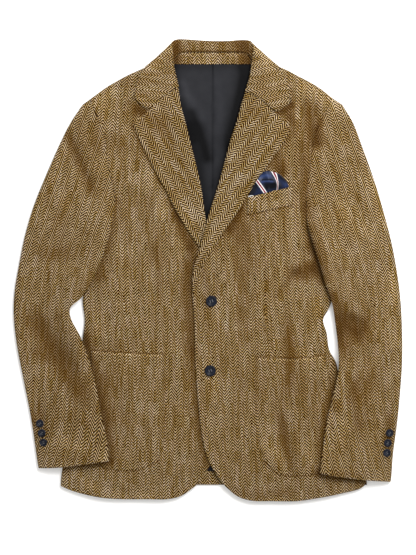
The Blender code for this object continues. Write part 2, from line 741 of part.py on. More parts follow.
def collar_section(row, mirror):
    """One station of the collar: seam, stand, roll, fall and edge."""
    def place(point):
        px = 2 * CENTRE - point[0] if mirror else point[0]
        return np.array([px, point[1]]) * MM

    roll, edge, seam = place(row["roll"]), place(row["edge"]), place(row["seam"])
    lift = LAPEL_GAP + COLLAR_CLOTH
    side = math.sin(math.radians(row["turn"]))
    front = 0.5 * (1 + side)
    seam_z = row["seam_z"] * MM
    stand_z = max(STAND_TOP, seam_z)
    top_z = loft(roll[0], roll[1] - ROLL_REACH * front) + lift - ROLL_DROP
    roll_z = front * top_z + (1 - front) * 0.5 * stand_z
    near_z = (1 - STAND_RISE) * seam_z + STAND_RISE * roll_z
    middle = 0.5 * (seam + roll)
    near = seam + STAND_SHARE * (roll - seam)
    points = [
        (*seam, seam_z),
        (*middle, front * 0.5 * (seam_z + roll_z) + (1 - front) * stand_z),
        (*near, front * near_z + (1 - front) * (stand_z - STAND_CURVE)),
        (*roll, roll_z),
    ]
    path = [roll] + [place(point) for point in row.get("by", [])] + [edge]
    for share, (x, y) in zip(FALL_SHARES, along(np.array(path))(np.array(FALL_SHARES))):
        away = share * np.linalg.norm(edge - roll)
        if row["turn"] >= 90:
            z = loft(x, y) + lift - COLLAR_LIP * lapel_lip(away)
        elif row["turn"] <= -90:
            z = roll_z * (1 - quarter(away / BACK_ROLL))
        else:
            z = 0.5 * (CHEST_HEIGHT + lift) * (1 + side)
        points.append((x, y, z))
    return points


def make_collar():
    """The collar, from one lapel seam round the back of the neck to the other."""
    left = [collar_section(row, False) for row in COLLAR]
    right = [collar_section(row, True) for row in COLLAR[-2::-1]]
    grid = np.array(left + right)
    add_sheet("collar", grid[..., 0], grid[..., 1], grid[..., 2], COLLAR_CLOTH, "tweed", facing_rows=2)


def make_pockets():
    """Two patch pockets and the chest welt, each on its front."""
    for side in ("left", "right"):
        outline = POCKET[side]
        lines = [smooth_line(outline[k]) for k in ("top", "bottom", "outer", "inner")]
        x, y = patch_grid(*lines, 7, 7)
        z = front_height(side)(x, y) + LAYER_GAP + SLEEVE_CLOTH
        add_sheet(f"pocket_{side}", x, y, z, SLEEVE_CLOTH, "tweed")
    lines = [smooth_line(WELT[k]) for k in ("top", "bottom", "left", "right")]
    x, y = patch_grid(*lines, 4, 3)
    z = right_front_height(x, y) + LAYER_GAP + SLEEVE_CLOTH
    add_sheet("chest_welt", x, y, z, SLEEVE_CLOTH, "tweed")
    lines = [smooth_line(SQUARE[k]) for k in ("top", "bottom", "left", "right")]
    x, y = patch_grid(*lines, 6, 4)
    z = right_front_height(x, y) + LAYER_GAP + SLEEVE_CLOTH
    add_sheet("pocket_square", x, y, z, SLEEVE_CLOTH, "satin")


def make_button(name, point, size, height_at):
    """A turned button with a raised rim, lying on the cloth."""
    x, y = point[0] * MM, point[1] * MM
    reach = size["radius"]
    mesh = bpy.data.meshes.new(name)
    shape = bmesh.new()
    profile = [
        shape.verts.new((r * reach, 0, h * size["height"])) for r, h in BUTTON_PROFILE
    ]
    for low, high in zip(profile[:-1], profile[1:]):
        shape.edges.new((low, high))
    shape.to_mesh(mesh)
    shape.free()
    mesh.materials.append(MATERIALS["button"])
    button = bpy.data.objects.new(name, mesh)
    JACKET.objects.link(button)
    turned = button.modifiers.new("Turned round", "SCREW")
    turned.steps = turned.render_steps = BUTTON_SIDES
    turned.use_merge_vertices = True
    turned.merge_threshold = 0.00005
    ring = np.linspace(0, 2 * math.pi, 13)[:-1]
    slope_x = (height_at(x + reach, y) - height_at(x - reach, y)) / (2 * reach)
    slope_y = (height_at(x, y + reach) - height_at(x, y - reach)) / (2 * reach)
    seat = max(
        float(height_at(x + r * math.cos(a), y + r * math.sin(a)))
        - r * (slope_x * math.cos(a) + slope_y * math.sin(a))
        for a in ring
        for r in (0, 0.5 * reach, reach)
    )
    button.location = (x, y, seat + size["gap"])
    button.rotation_euler = (math.atan(slope_y), -math.atan(slope_x), 0)
    return button


def make_buttons():
    """Two front buttons and three on each cuff."""
    for number, point in enumerate(FRONT_BUTTONS, 1):
        make_button(f"button_front_{number}", point, FRONT_BUTTON, right_front_height)
    for side, points in CUFF_BUTTONS.items():
        for number, point in enumerate(points, 1):
            make_button(
                f"button_cuff_{side}_{number}", point, CUFF_BUTTON,
                lambda x, y, side=side: sleeve_top_height(x, y, side),
            )


def clear_scene():
    for thing in list(bpy.data.objects):
        bpy.data.objects.remove(thing, do_unlink=True)


clear_scene()
JACKET = bpy.data.collections.new("Tweed jacket")
bpy.context.scene.collection.children.link(JACKET)
MATERIALS = {name: make_material(name) for name in COLOURS}
for each_side in ("left", "right"):
    make_back(each_side)
    make_front(each_side)
    make_sleeve(each_side)
    make_lapel(each_side)
make_inside()
make_collar()
make_pockets()
make_buttons()
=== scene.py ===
# %% [markdown]
# # A tweed jacket, laid flat
#
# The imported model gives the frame: one solid for each piece of cloth and for each button. The
# lesson builds the cloth again on those solids, finer and softer, and gives it its weave.
# Everything is in metres. X runs right, Y up to the collar and Z up from the floor. Left and
# right are as seen from above.

import math

import bmesh
import bpy
import numpy as np
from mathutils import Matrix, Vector


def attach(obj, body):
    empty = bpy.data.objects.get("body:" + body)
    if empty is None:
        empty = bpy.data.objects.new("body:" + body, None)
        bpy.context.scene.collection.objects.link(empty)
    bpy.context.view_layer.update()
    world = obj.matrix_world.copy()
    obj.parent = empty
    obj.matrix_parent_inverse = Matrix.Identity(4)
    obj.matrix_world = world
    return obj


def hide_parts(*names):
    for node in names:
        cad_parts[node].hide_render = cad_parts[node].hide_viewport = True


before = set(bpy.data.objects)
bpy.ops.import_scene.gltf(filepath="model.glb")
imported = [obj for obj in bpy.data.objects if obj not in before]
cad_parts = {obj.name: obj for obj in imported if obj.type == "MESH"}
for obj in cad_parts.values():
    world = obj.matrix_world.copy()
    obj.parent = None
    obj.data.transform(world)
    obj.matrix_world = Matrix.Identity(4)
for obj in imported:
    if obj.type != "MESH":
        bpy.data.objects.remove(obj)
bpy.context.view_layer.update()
MM = 0.001
print("solids in the frame:", len(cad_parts))

# %% [markdown]
# ## Camera
#
# The picture was taken from straight above, with hardly any perspective. A short lens would
# make the high chest look bigger than the low cuffs, so the camera stands far off with a long
# lens. One pixel of the picture is 1.75 mm on the cloth, and that sets the distance.

# %% Camera
PIXEL = 1.75 * MM
PICTURE = (416, 555)
PICTURE_CENTRE = (0.2 * MM, -10 * MM)
CLOTH_LEVEL = 10 * MM
LENS, SENSOR = 120, 36

lens = bpy.data.cameras.new("Camera")
lens.lens, lens.sensor_width = LENS, SENSOR
camera = bpy.data.objects.new("Camera", lens)
distance_up = PICTURE[1] * PIXEL * LENS / SENSOR
camera.location = (*PICTURE_CENTRE, CLOTH_LEVEL + distance_up)
bpy.context.scene.collection.objects.link(camera)
bpy.context.scene.camera = camera
print(f"camera {distance_up:.2f} m above the cloth")

# %% [markdown]
# ## Light
#
# A catalogue photo has big soft lamps on both sides and a pale table. Here one wide lamp stands
# beyond the collar, so that each crease gets a lit and a dark side. A weaker one fills in from
# the hem, and the pale surroundings light the rest. The Standard view keeps the table white.

# %% Light
def add_lamp(name, place, aim, size, power):
    """A square soft lamp at a place, pointing at another."""
    light = bpy.data.lights.new(name, "AREA")
    light.size, light.energy = size, power
    lamp = bpy.data.objects.new(name, light)
    lamp.location = place
    lamp.rotation_euler = (Vector(aim) - Vector(place)).to_track_quat("-Z", "Y").to_euler()
    bpy.context.scene.collection.objects.link(lamp)


add_lamp("Lamp_beyond_collar", (0.75, 1.05, 1.70), (0, 0, 0), 1.1, 57)
add_lamp("Lamp_below_hem", (-1.3, -1.5, 1.9), (0, 0, 0), 1.6, 5)
world = bpy.data.worlds.new("Pale_room")
world.use_nodes = True
world.node_tree.nodes["Background"].inputs["Color"].default_value = (1, 0.985, 0.96, 1)
world.node_tree.nodes["Background"].inputs["Strength"].default_value = 0.66
bpy.context.scene.world = world
bpy.context.scene.view_settings.view_transform = "Standard"

# %% [markdown]
# ## Curves and distances
#
# A pattern cutter draws a piece by its edges. So does this lesson: each piece is a grid of points
# stretched between four smooth edge lines. The shape of the cloth then comes from distances,
# such as how far a point is from a fold, a seam or a crease.

# %% Curves
def smooth_line(points, steps=6):
    """A centripetal curve through points in millimetres, as a dense polyline in metres."""
    p = np.array(points, float) * MM
    if len(p) == 2:
        return np.linspace(p[0], p[1], steps + 1)
    p = np.vstack([2 * p[0] - p[1], p, 2 * p[-1] - p[-2]])
    line = [p[1]]
    for a, b, c, d in zip(p[:-3], p[1:-2], p[2:-1], p[3:]):
        ta = math.sqrt(np.linalg.norm(b - a))
        tb = ta + math.sqrt(np.linalg.norm(c - b))
        tc = tb + math.sqrt(np.linalg.norm(d - c))
        for t in np.linspace(ta, tb, steps + 1)[1:]:
            ab = a + (b - a) * t / ta
            bc = b + (c - b) * (t - ta) / (tb - ta)
            cd = c + (d - c) * (t - tb) / (tc - tb)
            abc = ab + (bc - ab) * t / tb
            bcd = bc + (cd - bc) * (t - ta) / (tc - ta)
            line.append(abc + (bcd - abc) * (t - ta) / (tb - ta))
    return np.array(line)


def length_of(line):
    return np.linalg.norm(np.diff(line, axis=0), axis=1).sum()


def along(line):
    """A function that gives the point of a polyline at a share t of its length."""
    length = np.concatenate([[0], np.cumsum(np.linalg.norm(np.diff(line, axis=0), axis=1))])

    def at(t):
        return np.stack([np.interp(t, length / length[-1], column) for column in line.T], axis=-1)

    return at


def joined(*tables):
    """One line through several tables, each a smooth stretch of its own that starts at the last."""
    lines = [smooth_line(table) for table in tables]
    return np.vstack([lines[0]] + [line[1:] for line in lines[1:]])


def beside(x, y, line):
    """For each point: its signed distance from a polyline, and how far along that it is nearest."""
    start, step = line[:-1], np.diff(line, axis=0)
    size = np.linalg.norm(step, axis=1)
    px, py = x[..., None] - start[:, 0], y[..., None] - start[:, 1]
    t = np.clip((px * step[:, 0] + py * step[:, 1]) / size**2, 0, 1)
    away = np.hypot(px - t * step[:, 0], py - t * step[:, 1])
    nearest = away.argmin(axis=-1)[..., None]
    away = np.take_along_axis(away, nearest, -1)[..., 0]
    side = np.take_along_axis(step[:, 0] * py - step[:, 1] * px, nearest, -1)[..., 0]
    reached = np.take_along_axis(np.cumsum(size) - size + t * size, nearest, -1)[..., 0]
    return np.where(side < 0, -away, away), reached


def distance(x, y, line):
    return np.abs(beside(x, y, line)[0])


def ease(value, low, high):
    """0 below low, 1 above high and smooth between."""
    t = np.clip((value - low) / (high - low), 0, 1)
    return t * t * (3 - 2 * t)


def quarter(t):
    """The height of a quarter circle at a share t of its reach."""
    return np.sqrt(np.clip(1 - (1 - np.clip(t, 0, 1)) ** 2, 0, 1))


def bump(away, width):
    """A soft bell, 1 at no distance and gone at about twice the width."""
    return np.exp(-((away / width) ** 2))


# %% [markdown]
# ## Grids
#
# Cloth needs small steps where it turns over an edge and larger ones on the flat. The grid
# between four edge lines is a Coons patch: it blends the two side lines and the two end lines,
# so every edge is followed exactly.

# %% Grids
def round_turn(reach, count=7):
    """Distances from an edge that step round a turn of this reach."""
    return [reach * (1 - math.cos(math.radians(90 * k / count))) for k in range(count + 1)]


HEMMED = [0, 0.3 * MM, 0.8 * MM, 1.5 * MM, 2.5 * MM, 3.8 * MM, 4.8 * MM, 5.8 * MM, 7.4 * MM]


def places(length, step, first=(), last=()):
    """Shares of a length: the given distances from either end, and even steps between."""
    head = np.array(first) / length
    tail = 1 - np.array(last)[::-1] / length
    low = head[-1] if len(head) else 0
    high = tail[0] if len(tail) else 1
    middle = np.linspace(low, high, max(2, round((high - low) * length / step)) + 1)
    return np.concatenate([head[:-1], middle, tail[1:]])


def patch(top, bottom, left, right, step, turns=((), ()), row_turns=((), ())):
    """x and y of a grid inside four lines. Rows are spaced along the left line."""
    v = places(length_of(left), step, *row_turns)
    wide = np.linalg.norm(along(left)(v) - along(right)(v), axis=1)
    count_like = max(wide.mean(), 30 * MM)
    pattern = places(count_like, step, *turns)
    ends = [len(turns[0]), len(turns[1])]
    u = []
    for width in np.maximum(wide, 30 * MM):
        head = np.array(turns[0]) / width
        tail = 1 - np.array(turns[1])[::-1] / width
        low = head[-1] if len(head) else 0
        high = tail[0] if len(tail) else 1
        inner = len(pattern) - sum(max(end - 1, 0) for end in ends)
        u.append(np.concatenate([head[:-1], np.linspace(low, high, inner), tail[1:]]))
    a = np.array(u)[..., None]
    b = np.repeat(v[:, None], a.shape[1], axis=1)[..., None]
    top_at, bottom_at, left_at, right_at = map(along, (top, bottom, left, right))
    sides = (1 - a) * left_at(b[..., 0]) + a * right_at(b[..., 0])
    ends = (1 - b) * top_at(a[..., 0]) + b * bottom_at(a[..., 0])
    corners = (1 - a) * ((1 - b) * top[0] + b * bottom[0]) + a * ((1 - b) * top[-1] + b * bottom[-1])
    xy = sides + ends - corners
    return xy[..., 0], xy[..., 1]


# %% [markdown]
# ## Outlines
#
# These are the seams and edges of the jacket in millimetres, from the top down, as in the solid
# model. Each side of the jacket has its own, because the cloth didn't fall the same on both.

# %% Outlines
SHOULDER = {
    "left": [(-207, 302), (-176, 324.5), (-142, 343.5), (-121, 353), (-107, 359), (-88, 366), (-64, 375)],
    "right": [(219.5, 303.5), (191.5, 325), (158, 343), (138, 353.4), (123, 360), (104, 367), (80, 375)],
}
SLEEVE_OUTER = {
    "left": [
        (-219.5, 293), (-240.5, 261.5), (-261.5, 219.5), (-284.5, 167), (-305.5, 114.5), (-321, 62),
        (-331.5, 9.5), (-338.5, -32), (-340.5, -74), (-335, -127), (-323, -190), (-310.5, -253),
        (-298, -337), (-296.5, -344),
    ],
    "right": [
        (235.5, 293), (254.5, 261.5), (270.5, 219.5), (289.5, 167), (305.5, 114.5), (319.5, 62),
        (330, 9.5), (337, -43), (340.5, -102), (340.5, -158), (337, -211), (331.5, -267),
        (324.5, -319.5), (321, -364), (320, -368),
    ],
}
ARMHOLE = {
    "left": [
        (-207, 302), (-193.5, 272), (-181, 244), (-177, 207.5), (-170.5, 169), (-163.5, 139),
        (-162, 123),
    ],
    "right": [
        (219.5, 303.5), (205.5, 277), (193.5, 256), (183, 218), (177, 174), (172.5, 134),
        (172.5, 116),
    ],
}
BACK_ARMHOLE = {
    "left": [(-207, 302), (-191, 256), (-180, 204), (-174, 151), (-170, 120), (-173, 97), (-182, 71)],
    "right": [(219.5, 303.5), (204, 256), (192, 204), (184, 151), (180, 112), (182, 90), (188, 63)],
}
UNDERARM = {
    "left": [(-162, 123), (-171, 97), (-183, 69)],
    "right": [(172.5, 116), (179.5, 90), (188, 62)],
}
SIDE = {
    "left": [
        (-183, 69), (-198.5, 31), (-212.5, -11), (-219.5, -50), (-216, -85), (-219.5, -116),
        (-228.5, -181), (-242.5, -268.5), (-256.5, -354.5), (-258, -375.5),
    ],
    "right": [
        (188, 62), (200.5, 20), (212, -22), (217.5, -48), (211, -66), (202, -84), (208.5, -108),
        (212.5, -136), (225, -160), (232, -199), (249, -277.5), (274, -352.5), (279, -370),
    ],
}
SLEEVE_INNER = {
    "left": [
        (-162, 123), (-167, 86.5), (-179.5, 37.5), (-197, -8), (-219.5, -44.5), (-240.5, -64),
        (-239, -81.5), (-221.5, -114.5), (-205.5, -158.5), (-195, -198.5), (-184.5, -254.5),
        (-174, -300), (-172.5, -330),
    ],
    "right": [
        (172.5, 116), (173, 88.5), (181, 55), (193.5, 16.5), (204, -20), (212.5, -43), (217.5, -60.5),
        (222.5, -93.5), (227, -134), (227.5, -165.5), (223, -193.5), (214.5, -226.5), (205.5, -268.5),
        (198, -321), (194.5, -351),
    ],
}
CUFF = {
    "left": [(-296.5, -344), (-258, -342), (-214.5, -336), (-172.5, -330)],
    "right": [(320, -368), (263.5, -363), (218, -356), (194.5, -351)],
}
ROLL_LINE = {
    "left": [
        (-64, 375), (-59, 356), (-51.5, 322), (-47, 292), (-41.5, 271), (-31, 229.5), (-20.5, 187.5),
        (-11, 145), (-2.5, 88.5), (11.5, 53.5), (25.5, 23.5),
    ],
    "right": [
        (80, 375), (75.5, 356), (65, 314), (58, 292.5), (52.5, 271.5), (45.8, 250.5), (38.8, 229.5),
        (29.5, 194), (19, 156), (9, 124), (-2.5, 86.5), (-13, 44.5), (-22, 16.5),
    ],
}
FRONT_EDGE = {
    "left": [
        (25.5, 23.5), (32.5, -23.5), (36, -92), (34, -153), (29, -233.5), (22, -291.5), (9.5, -330),
        (-22, -375.5),
    ],
    "right": [
        (-22, 16.5), (-27, -23.5), (-23.5, -92), (-22.5, -153), (-16.5, -233.5), (-9.5, -291.5),
        (2.5, -333.5), (30.5, -375.5),
    ],
}
HEM = {
    "left": [
        (-258, -375.5), (-237, -384), (-211, -391), (-183, -396), (-150, -398), (-100.5, -398),
        (-71, -398), (-48, -393), (-22, -375.5),
    ],
    "right": [
        (279, -370), (267, -379.5), (233.5, -388.5), (188, -397), (156.5, -401.5), (109.5, -401.5),
        (74.5, -400.5), (51.5, -393), (30.5, -375.5),
    ],
}
LAPEL_ROLL = {
    "left": ROLL_LINE["left"][2:-1],
    "right": ROLL_LINE["right"][2:] + [(-26, -5), (-27, -23.5), (-26.4, -42.5)],
}
LAPEL_OUTER = {
    "left": [
        (-131, 257), (-113, 216), (-97.5, 186), (-84, 160), (-73, 141), (-62, 118), (-48, 93.5),
        (-31, 66), (-20, 49), (-11, 39),
    ],
    "right": [
        (144.5, 251), (139, 236), (124, 213), (111, 195.5), (101, 181), (89, 167), (79.5, 155),
        (72.5, 141.5), (66.5, 130), (56, 110), (44, 93), (31.5, 74.5), (19.5, 56), (8.5, 40), (-2, 24),
        (-11, 8), (-18, -10), (-23, -28), (-25.6, -44),
    ],
}
GORGE = {
    "left": [(-51.5, 322.3), (-59.1, 318), (-72.9, 309.3), (-88.5, 296), (-104, 282)],
    "right": [(65, 314.3), (73.3, 311.3), (87.2, 303.9), (102.7, 292), (117, 278)],
}
OUTWARD = {"left": -1, "right": 1}
SEAMS = {
    side: dict(
        outline=np.vstack([smooth_line(SHOULDER[side])[::-1], smooth_line(SLEEVE_OUTER[side])]),
        pressed=smooth_line(UNDERARM[side] + SIDE[side][1:]),
        side=smooth_line(SIDE[side]),
        armhole=smooth_line(ARMHOLE[side]),
        inner=smooth_line(SLEEVE_INNER[side]),
        low_end=ARMHOLE[side][-1][1] * MM,
    )
    for side in OUTWARD
}
for side, lines in SEAMS.items():
    print(side, "armhole seam", round(length_of(lines["armhole"]) / MM), "mm")

# %% [markdown]
# ## Creases
#
# Wool that has hung and been laid out keeps a few soft troughs, each with a low ridge beside it
# where the spare cloth went. A simulation would put them anywhere, so these are given one by one:
# each is a path, a width, a depth, and the share of the depth that stands up as a ridge. Weak
# ripples at chance angles keep the cloth between them from looking like sheet metal.

# %% Creases
# lip is the share of the depth that stands up beside it, and fade the shares of the length over
# which it comes in and dies out.
BODY_CREASES = [
    dict(path=[(-206, 268), (-182, 238), (-150, 220), (-118, 214)], width=17, depth=1.9, lip=0.1),
    dict(path=[(-88, 62), (-86, 20), (-82, -20), (-80, -62)], width=13, depth=1.5, lip=0.4),
    dict(path=[(-105, 160), (-103, 115), (-98, 60), (-96, 20)], width=9, depth=0.8, lip=0.4),
    dict(path=[(50, 96), (58, 30), (64, -60), (70, -180)], width=15, depth=1.8, lip=0.5),
    dict(path=[(170, 318), (180, 276), (186, 240), (184, 200)], width=19, depth=4.2, lip=0.1),
    dict(path=[(214, -14), (196, 4), (168, 10)], width=16, depth=3.8, lip=0.0, fade=(0.02, 0.5)),
    dict(path=[(189, 17), (165, 6.5), (145, -11), (126, -34), (102, -58)], width=6, depth=2.3,
         lip=0.8),
    dict(path=[(136, -50), (140, -120), (141, -190), (143, -236)], width=14, depth=3.0, lip=0.4),
    dict(path=[(120, -225), (131, -270), (142, -330), (160, -372)], width=10, depth=3.6, lip=0.8),
    dict(path=[(88, -100), (92, -180), (84, -260)], width=14, depth=1.0, lip=0.5),
    dict(path=[(-190, -150), (-160, -210), (-150, -300)], width=20, depth=1.2, lip=0.4),
]
SLEEVE_CREASES = [
    dict(path=[(-260, 280), (-242, 232), (-220, 180), (-190, 112)], width=10, depth=4.2, lip=0.6),
    dict(path=[(-310, 20), (-280, 32), (-250, 30), (-228, 18)], width=15, depth=2.2, lip=0.4),
    dict(path=[(-326, -56), (-297, -93), (-276, -124), (-259, -148), (-243, -174), (-226, -208),
               (-214, -256)], width=20, depth=5.0, lip=0.3, fade=(0.2, 0.3)),
    dict(path=[(-306, -215), (-292, -256), (-282, -305)], width=12, depth=2.6, lip=0.3),
    dict(path=[(206, -34), (230, -76), (260, -92), (304, -88)], width=16, depth=5.4, lip=0.2,
         fade=(0.1, 0.3)),
    dict(path=[(220, -96), (238, -130), (246, -170)], width=14, depth=3.8, lip=0.3, fade=(0.1, 0.5)),
    dict(path=[(240, -70), (260, -102), (266, -140)], width=12, depth=3.2, lip=0.3),
    dict(path=[(256, -170), (254, -220), (260, -262), (268, -304)], width=12, depth=3.6, lip=0.4),
    dict(path=[(312, -225), (316, -270), (313, -315)], width=10, depth=1.6, lip=0.3),
]
# Painted shading strokes: broad painted shade, and painted light where the amount is below nought.
PAINTED_SHADING_STROKES = [  # path, width in mm, and how much darker the cloth looks there, or paler below nought
    ([(187, 250), (190, 226)], 9, 0.35),
    ([(166, 217), (166, 169), (168, 134), (175, 99)], 9, 0.38), ([(152, 1), (168, -5), (179, 4)], 12, 0.75), ([(192, 226), (196, 224)], 12, 0.35), ([(210, -36), (214, -46)], 7, 0.35),
    ([(177, 77), (184, 38)], 8, 0.32), ([(184, 45), (196, 17), (208, -14)], 8, 0.5),
    ([(122, 200), (131, 176)], 10, 0.65), ([(-198, 225), (-189, 212)], 10, 0.35), ([(-134, 294), (-126, 282)], 9, 0.2),
    ([(-33, 38), (-38, 3), (-40, -41), (-37, -84), (-31, -137)], 9, 0.35),
    ([(123, -198), (131, -242), (130, -286)], 14, 0.2),
    ([(161, -193), (172, -242), (170, -277)], 22, 0.18), ([(56, -181), (56, -228)], 12, 0.2),
    ([(42, -382), (82, -391), (144, -385)], 9, 0.3), ([(226, -81), (242, -90)], 11, 0.3),
    ([(222, -354), (252, -352)], 8, 0.22), ([(215, -221), (224, -242)], 8, 0.25),
    ([(270, -128), (270, -181), (257, -203)], 14, 0.12), ([(-298, -142), (-284, -152)], 12, 0.38), ([(234, -104), (262, -112)], 18, 0.42),
    ([(-217, -35), (-203, -20), (-182, -9)], 7, 0.28), ([(-213, -112), (-210, -130)], 6, 0.5),
    ([(-180, -181), (-175, -224), (-171, -268)], 9, 0.18), ([(-245, -252), (-210, -268)], 10, 0.18),
    ([(-96, 47), (-96, 24)], 8, 0.22), ([(56, -58), (56, -88)], 7, 0.18),
    ([(-119, 283), (-98, 269), (-82, 254)], 12, 0.28), ([(-26, 38), (-7, -6), (7, -49)], 8, 0.24), ([(-8, -44), (-6, -54)], 4, 0.5), ([(-308, -250), (-304, -262)], 8, 0.35), ([(320, -262), (318, -284)], 8, 0.25), ([(-145, -382), (-136, -388)], 8, 0.3), ([(270, -196), (250, -222)], 18, 0.14), ([(74, 283), (95, 266)], 10, 0.28),
    ([(-273, 29), (-273, -32), (-269, -84)], 7, 0.15),
    ([(-101, 357), (-84, 374), (-63, 395)], 9, -0.32), ([(81, 393), (104, 366)], 9, -0.40),
    ([(105, 360), (119, 327), (117, 304)], 11, -0.16), ([(152, 290), (156, 272)], 10, -0.35), ([(-76, 120), (-80, 104)], 12, -0.2), ([(-40, 110), (-28, 86)], 8, -0.15),
    ([(-192, 297), (-172, 314)], 13, -0.34),
    ([(-241, 248), (-231, 280), (-217, 294)], 9, -0.18),
    ([(-182, 269), (-178, 231), (-175, 187)], 13, -0.2),
    ([(170, 322), (193, 306), (222, 290)], 14, -0.35),
    ([(-276, 152), (-262, 192), (-254, 217)], 9, -0.18),
    ([(287, 161), (301, 126), (312, 91)], 13, -0.28), ([(240, 117), (254, 87), (292, 59)], 14, -0.18),
    ([(324, 3), (329, -49)], 9, -0.32), ([(-259, -294), (-224, -307)], 12, -0.26),
    ([(-231, -347), (-206, -373), (-171, -387), (-101, -394)], 9, -0.32),
    ([(-168, 171), (-128, 161), (-101, 171)], 12, -0.12), ([(18, -55), (18, -81)], 8, -0.22),
    ([(7, -172), (11, -216)], 10, -0.22), ([(156, -137), (179, -149)], 8, -0.18),
    ([(200, -158), (214, -175)], 8, -0.18), ([(100, -298), (118, -321), (134, -330)], 12, -0.28),
    ([(175, -303), (182, -329)], 12, -0.22), ([(240, -268), (231, -294)], 10, -0.22),
    ([(167, 96), (168, 58)], 8, -0.22), ([(-191, -78), (-190, -108)], 9, -0.28),
    ([(-147, -128), (-136, -149)], 12, -0.12), ([(-259, 90), (-258, 66)], 15, 0.2),
    ([(191, -52), (193, -68)], 9, -0.32), ([(229, -84), (231, -130)], 9, 0.22),
    ([(281, -190), (277, -224), (276, -262)], 13, 0.2), ([(315, -292), (314, -310)], 8, 0.42),
    ([(-262, -78), (-250, -112), (-238, -142)], 9, 0.22), ([(-238, -172), (-231, -195)], 9, -0.2),
    ([(-145, 34), (-143, -24)], 15, -0.12), ([(-160, -128), (-130, -131)], 8, 0.14),
    ([(-226, 258), (-222, 200)], 9, 0.16), ([(-217, 166), (-216, 156)], 8, -0.2),
    ([(-148, 330), (-130, 334)], 9, 0.22), ([(-98, 168), (-97, 150)], 10, -0.25),
    ([(72, 92), (82, 30), (68, 2)], 22, 0.17), ([(-205, -212), (-198, -240)], 12, 0.12),
    ([(187, -196), (189, -262)], 13, 0.13), ([(-92, -382), (-90, -388)], 8, -0.2),
    ([(-184, -322), (-172, -328)], 9, -0.28), ([(48, 399), (62, 386)], 8, 0.25),
    ([(-20, 364), (12, 363)], 6, -0.32), ([(-56, 392), (-54, 372)], 7, 0.25),
    ([(143, 284), (150, 242)], 9, 0.34), ([(168, 200), (172, 172)], 8, 0.24),
    ([(112, 186), (129, 172)], 7, 0.35), ([(66, 112), (136, 122)], 9, -0.14),
    ([(222, -132), (226, -160)], 9, 0.2), ([(-228, -160), (-224, -168)], 8, 0.2),
    ([(-240, 8), (-228, -2)], 11, -0.18), ([(-196, 296), (-176, 284)], 10, -0.18),
    ([(-126, 306), (-114, 300)], 7, -0.22), ([(-256, 138), (-244, 112)], 8, -0.14),
    ([(-300, 128), (-312, 88)], 8, -0.16), ([(-44, 90), (-34, 64)], 7, -0.22),
    ([(-50, 50), (-46, 26)], 9, -0.2), ([(40, 84), (50, 52)], 8, 0.14),
    ([(95, -26), (95, -40)], 8, -0.12), ([(146, -120), (156, -180)], 10, 0.12),
    ([(167, -222), (167, -240)], 8, -0.12), ([(248, -200), (256, -236)], 8, -0.18),
    ([(300, -172), (302, -205)], 10, 0.14), ([(236, -82), (250, -90)], 8, -0.18),
    ([(262, -66), (272, -76)], 8, 0.14), ([(316, -20), (322, -60), (322, -124)], 13, -0.15),
    ([(-306, -66), (-304, -82)], 10, -0.13), ([(-316, -205), (-308, -240)], 8, -0.15),
    ([(-306, -264), (-303, -285)], 7, 0.25), ([(-145, -166), (-145, -182)], 9, -0.16),
    ([(-60, 402), (-46, 411)], 7, -0.42), ([(62, 410), (78, 400)], 7, -0.42),
    ([(-110, 262), (-90, 240)], 9, 0.14), ([(176, 112), (192, 74)], 8, 0.16),
    ([(228, 112), (234, 100)], 9, -0.12), ([(230, 2), (240, -18)], 10, 0.12),
    ([(198, 52), (204, 20)], 7, 0.12), ([(-186, -378), (-174, -380)], 9, 0.12),
    ([(110, -397), (126, -397)], 8, -0.2), ([(162, -378), (210, -375)], 9, 0.18),
]
RIPPLES = [  # direction in degrees, wavelength and height in millimetres, and phase
    (12, 94, 0.30, 0.4), (71, 126, 0.34, 2.1), (118, 77, 0.22, 4.0), (158, 58, 0.16, 1.2),
    (36, 47, 0.11, 5.2), (95, 39, 0.09, 3.3),
]


def crease_depth(x, y, creases):
    """How far the cloth sinks at each point, less where a ridge stands beside a crease."""
    depth = np.zeros(np.shape(x))
    for crease in creases:
        line = smooth_line(crease["path"])
        away, reached = beside(x, y, line)
        share = reached / length_of(line)
        start, end = crease.get("fade", (0.3, 0.3))
        fade = ease(share, 0, start) * (1 - ease(share, 1 - end, 1))
        across = away / (crease["width"] * MM)
        ridge = bump(across - 1.9, 0.9) + 0.6 * bump(across + 1.9, 0.9)
        depth += crease["depth"] * MM * fade * (bump(across, 1) - crease["lip"] * ridge)
    return depth


def hollow(depth):
    """The painted shade in a crease of this depth: how much darker the cloth is made, where light hardly gets in."""
    return np.clip(depth / (7.5 * MM), 0, 0.6)


def tone(x, y):
    """The painted broad shade and light of the upper face, which the small creases above don't give."""
    shade = np.zeros(np.shape(x))
    for path, width, amount in PAINTED_SHADING_STROKES:
        shade += amount * bump(distance(x, y, smooth_line(path)), width * MM)
    return shade


def ripple(x, y):
    """Weak waves all over the cloth."""
    height = np.zeros(np.shape(x))
    for degrees, wavelength, high, phase in RIPPLES:
        angle = math.radians(degrees)
        run = (x * math.cos(angle) + y * math.sin(angle)) / (wavelength * MM)
        height += high * MM * np.sin(2 * math.pi * run + phase)
    return height


# %% [markdown]
# ## Heights
#
# From the side, the jacket is a low mound: about 15 mm at the chest, where the canvas and the
# seam allowances are, and 9 mm at the sides. These functions give the height of each layer's
# outer face, with the numbers of the solid model, so that every piece stays over its own solid.

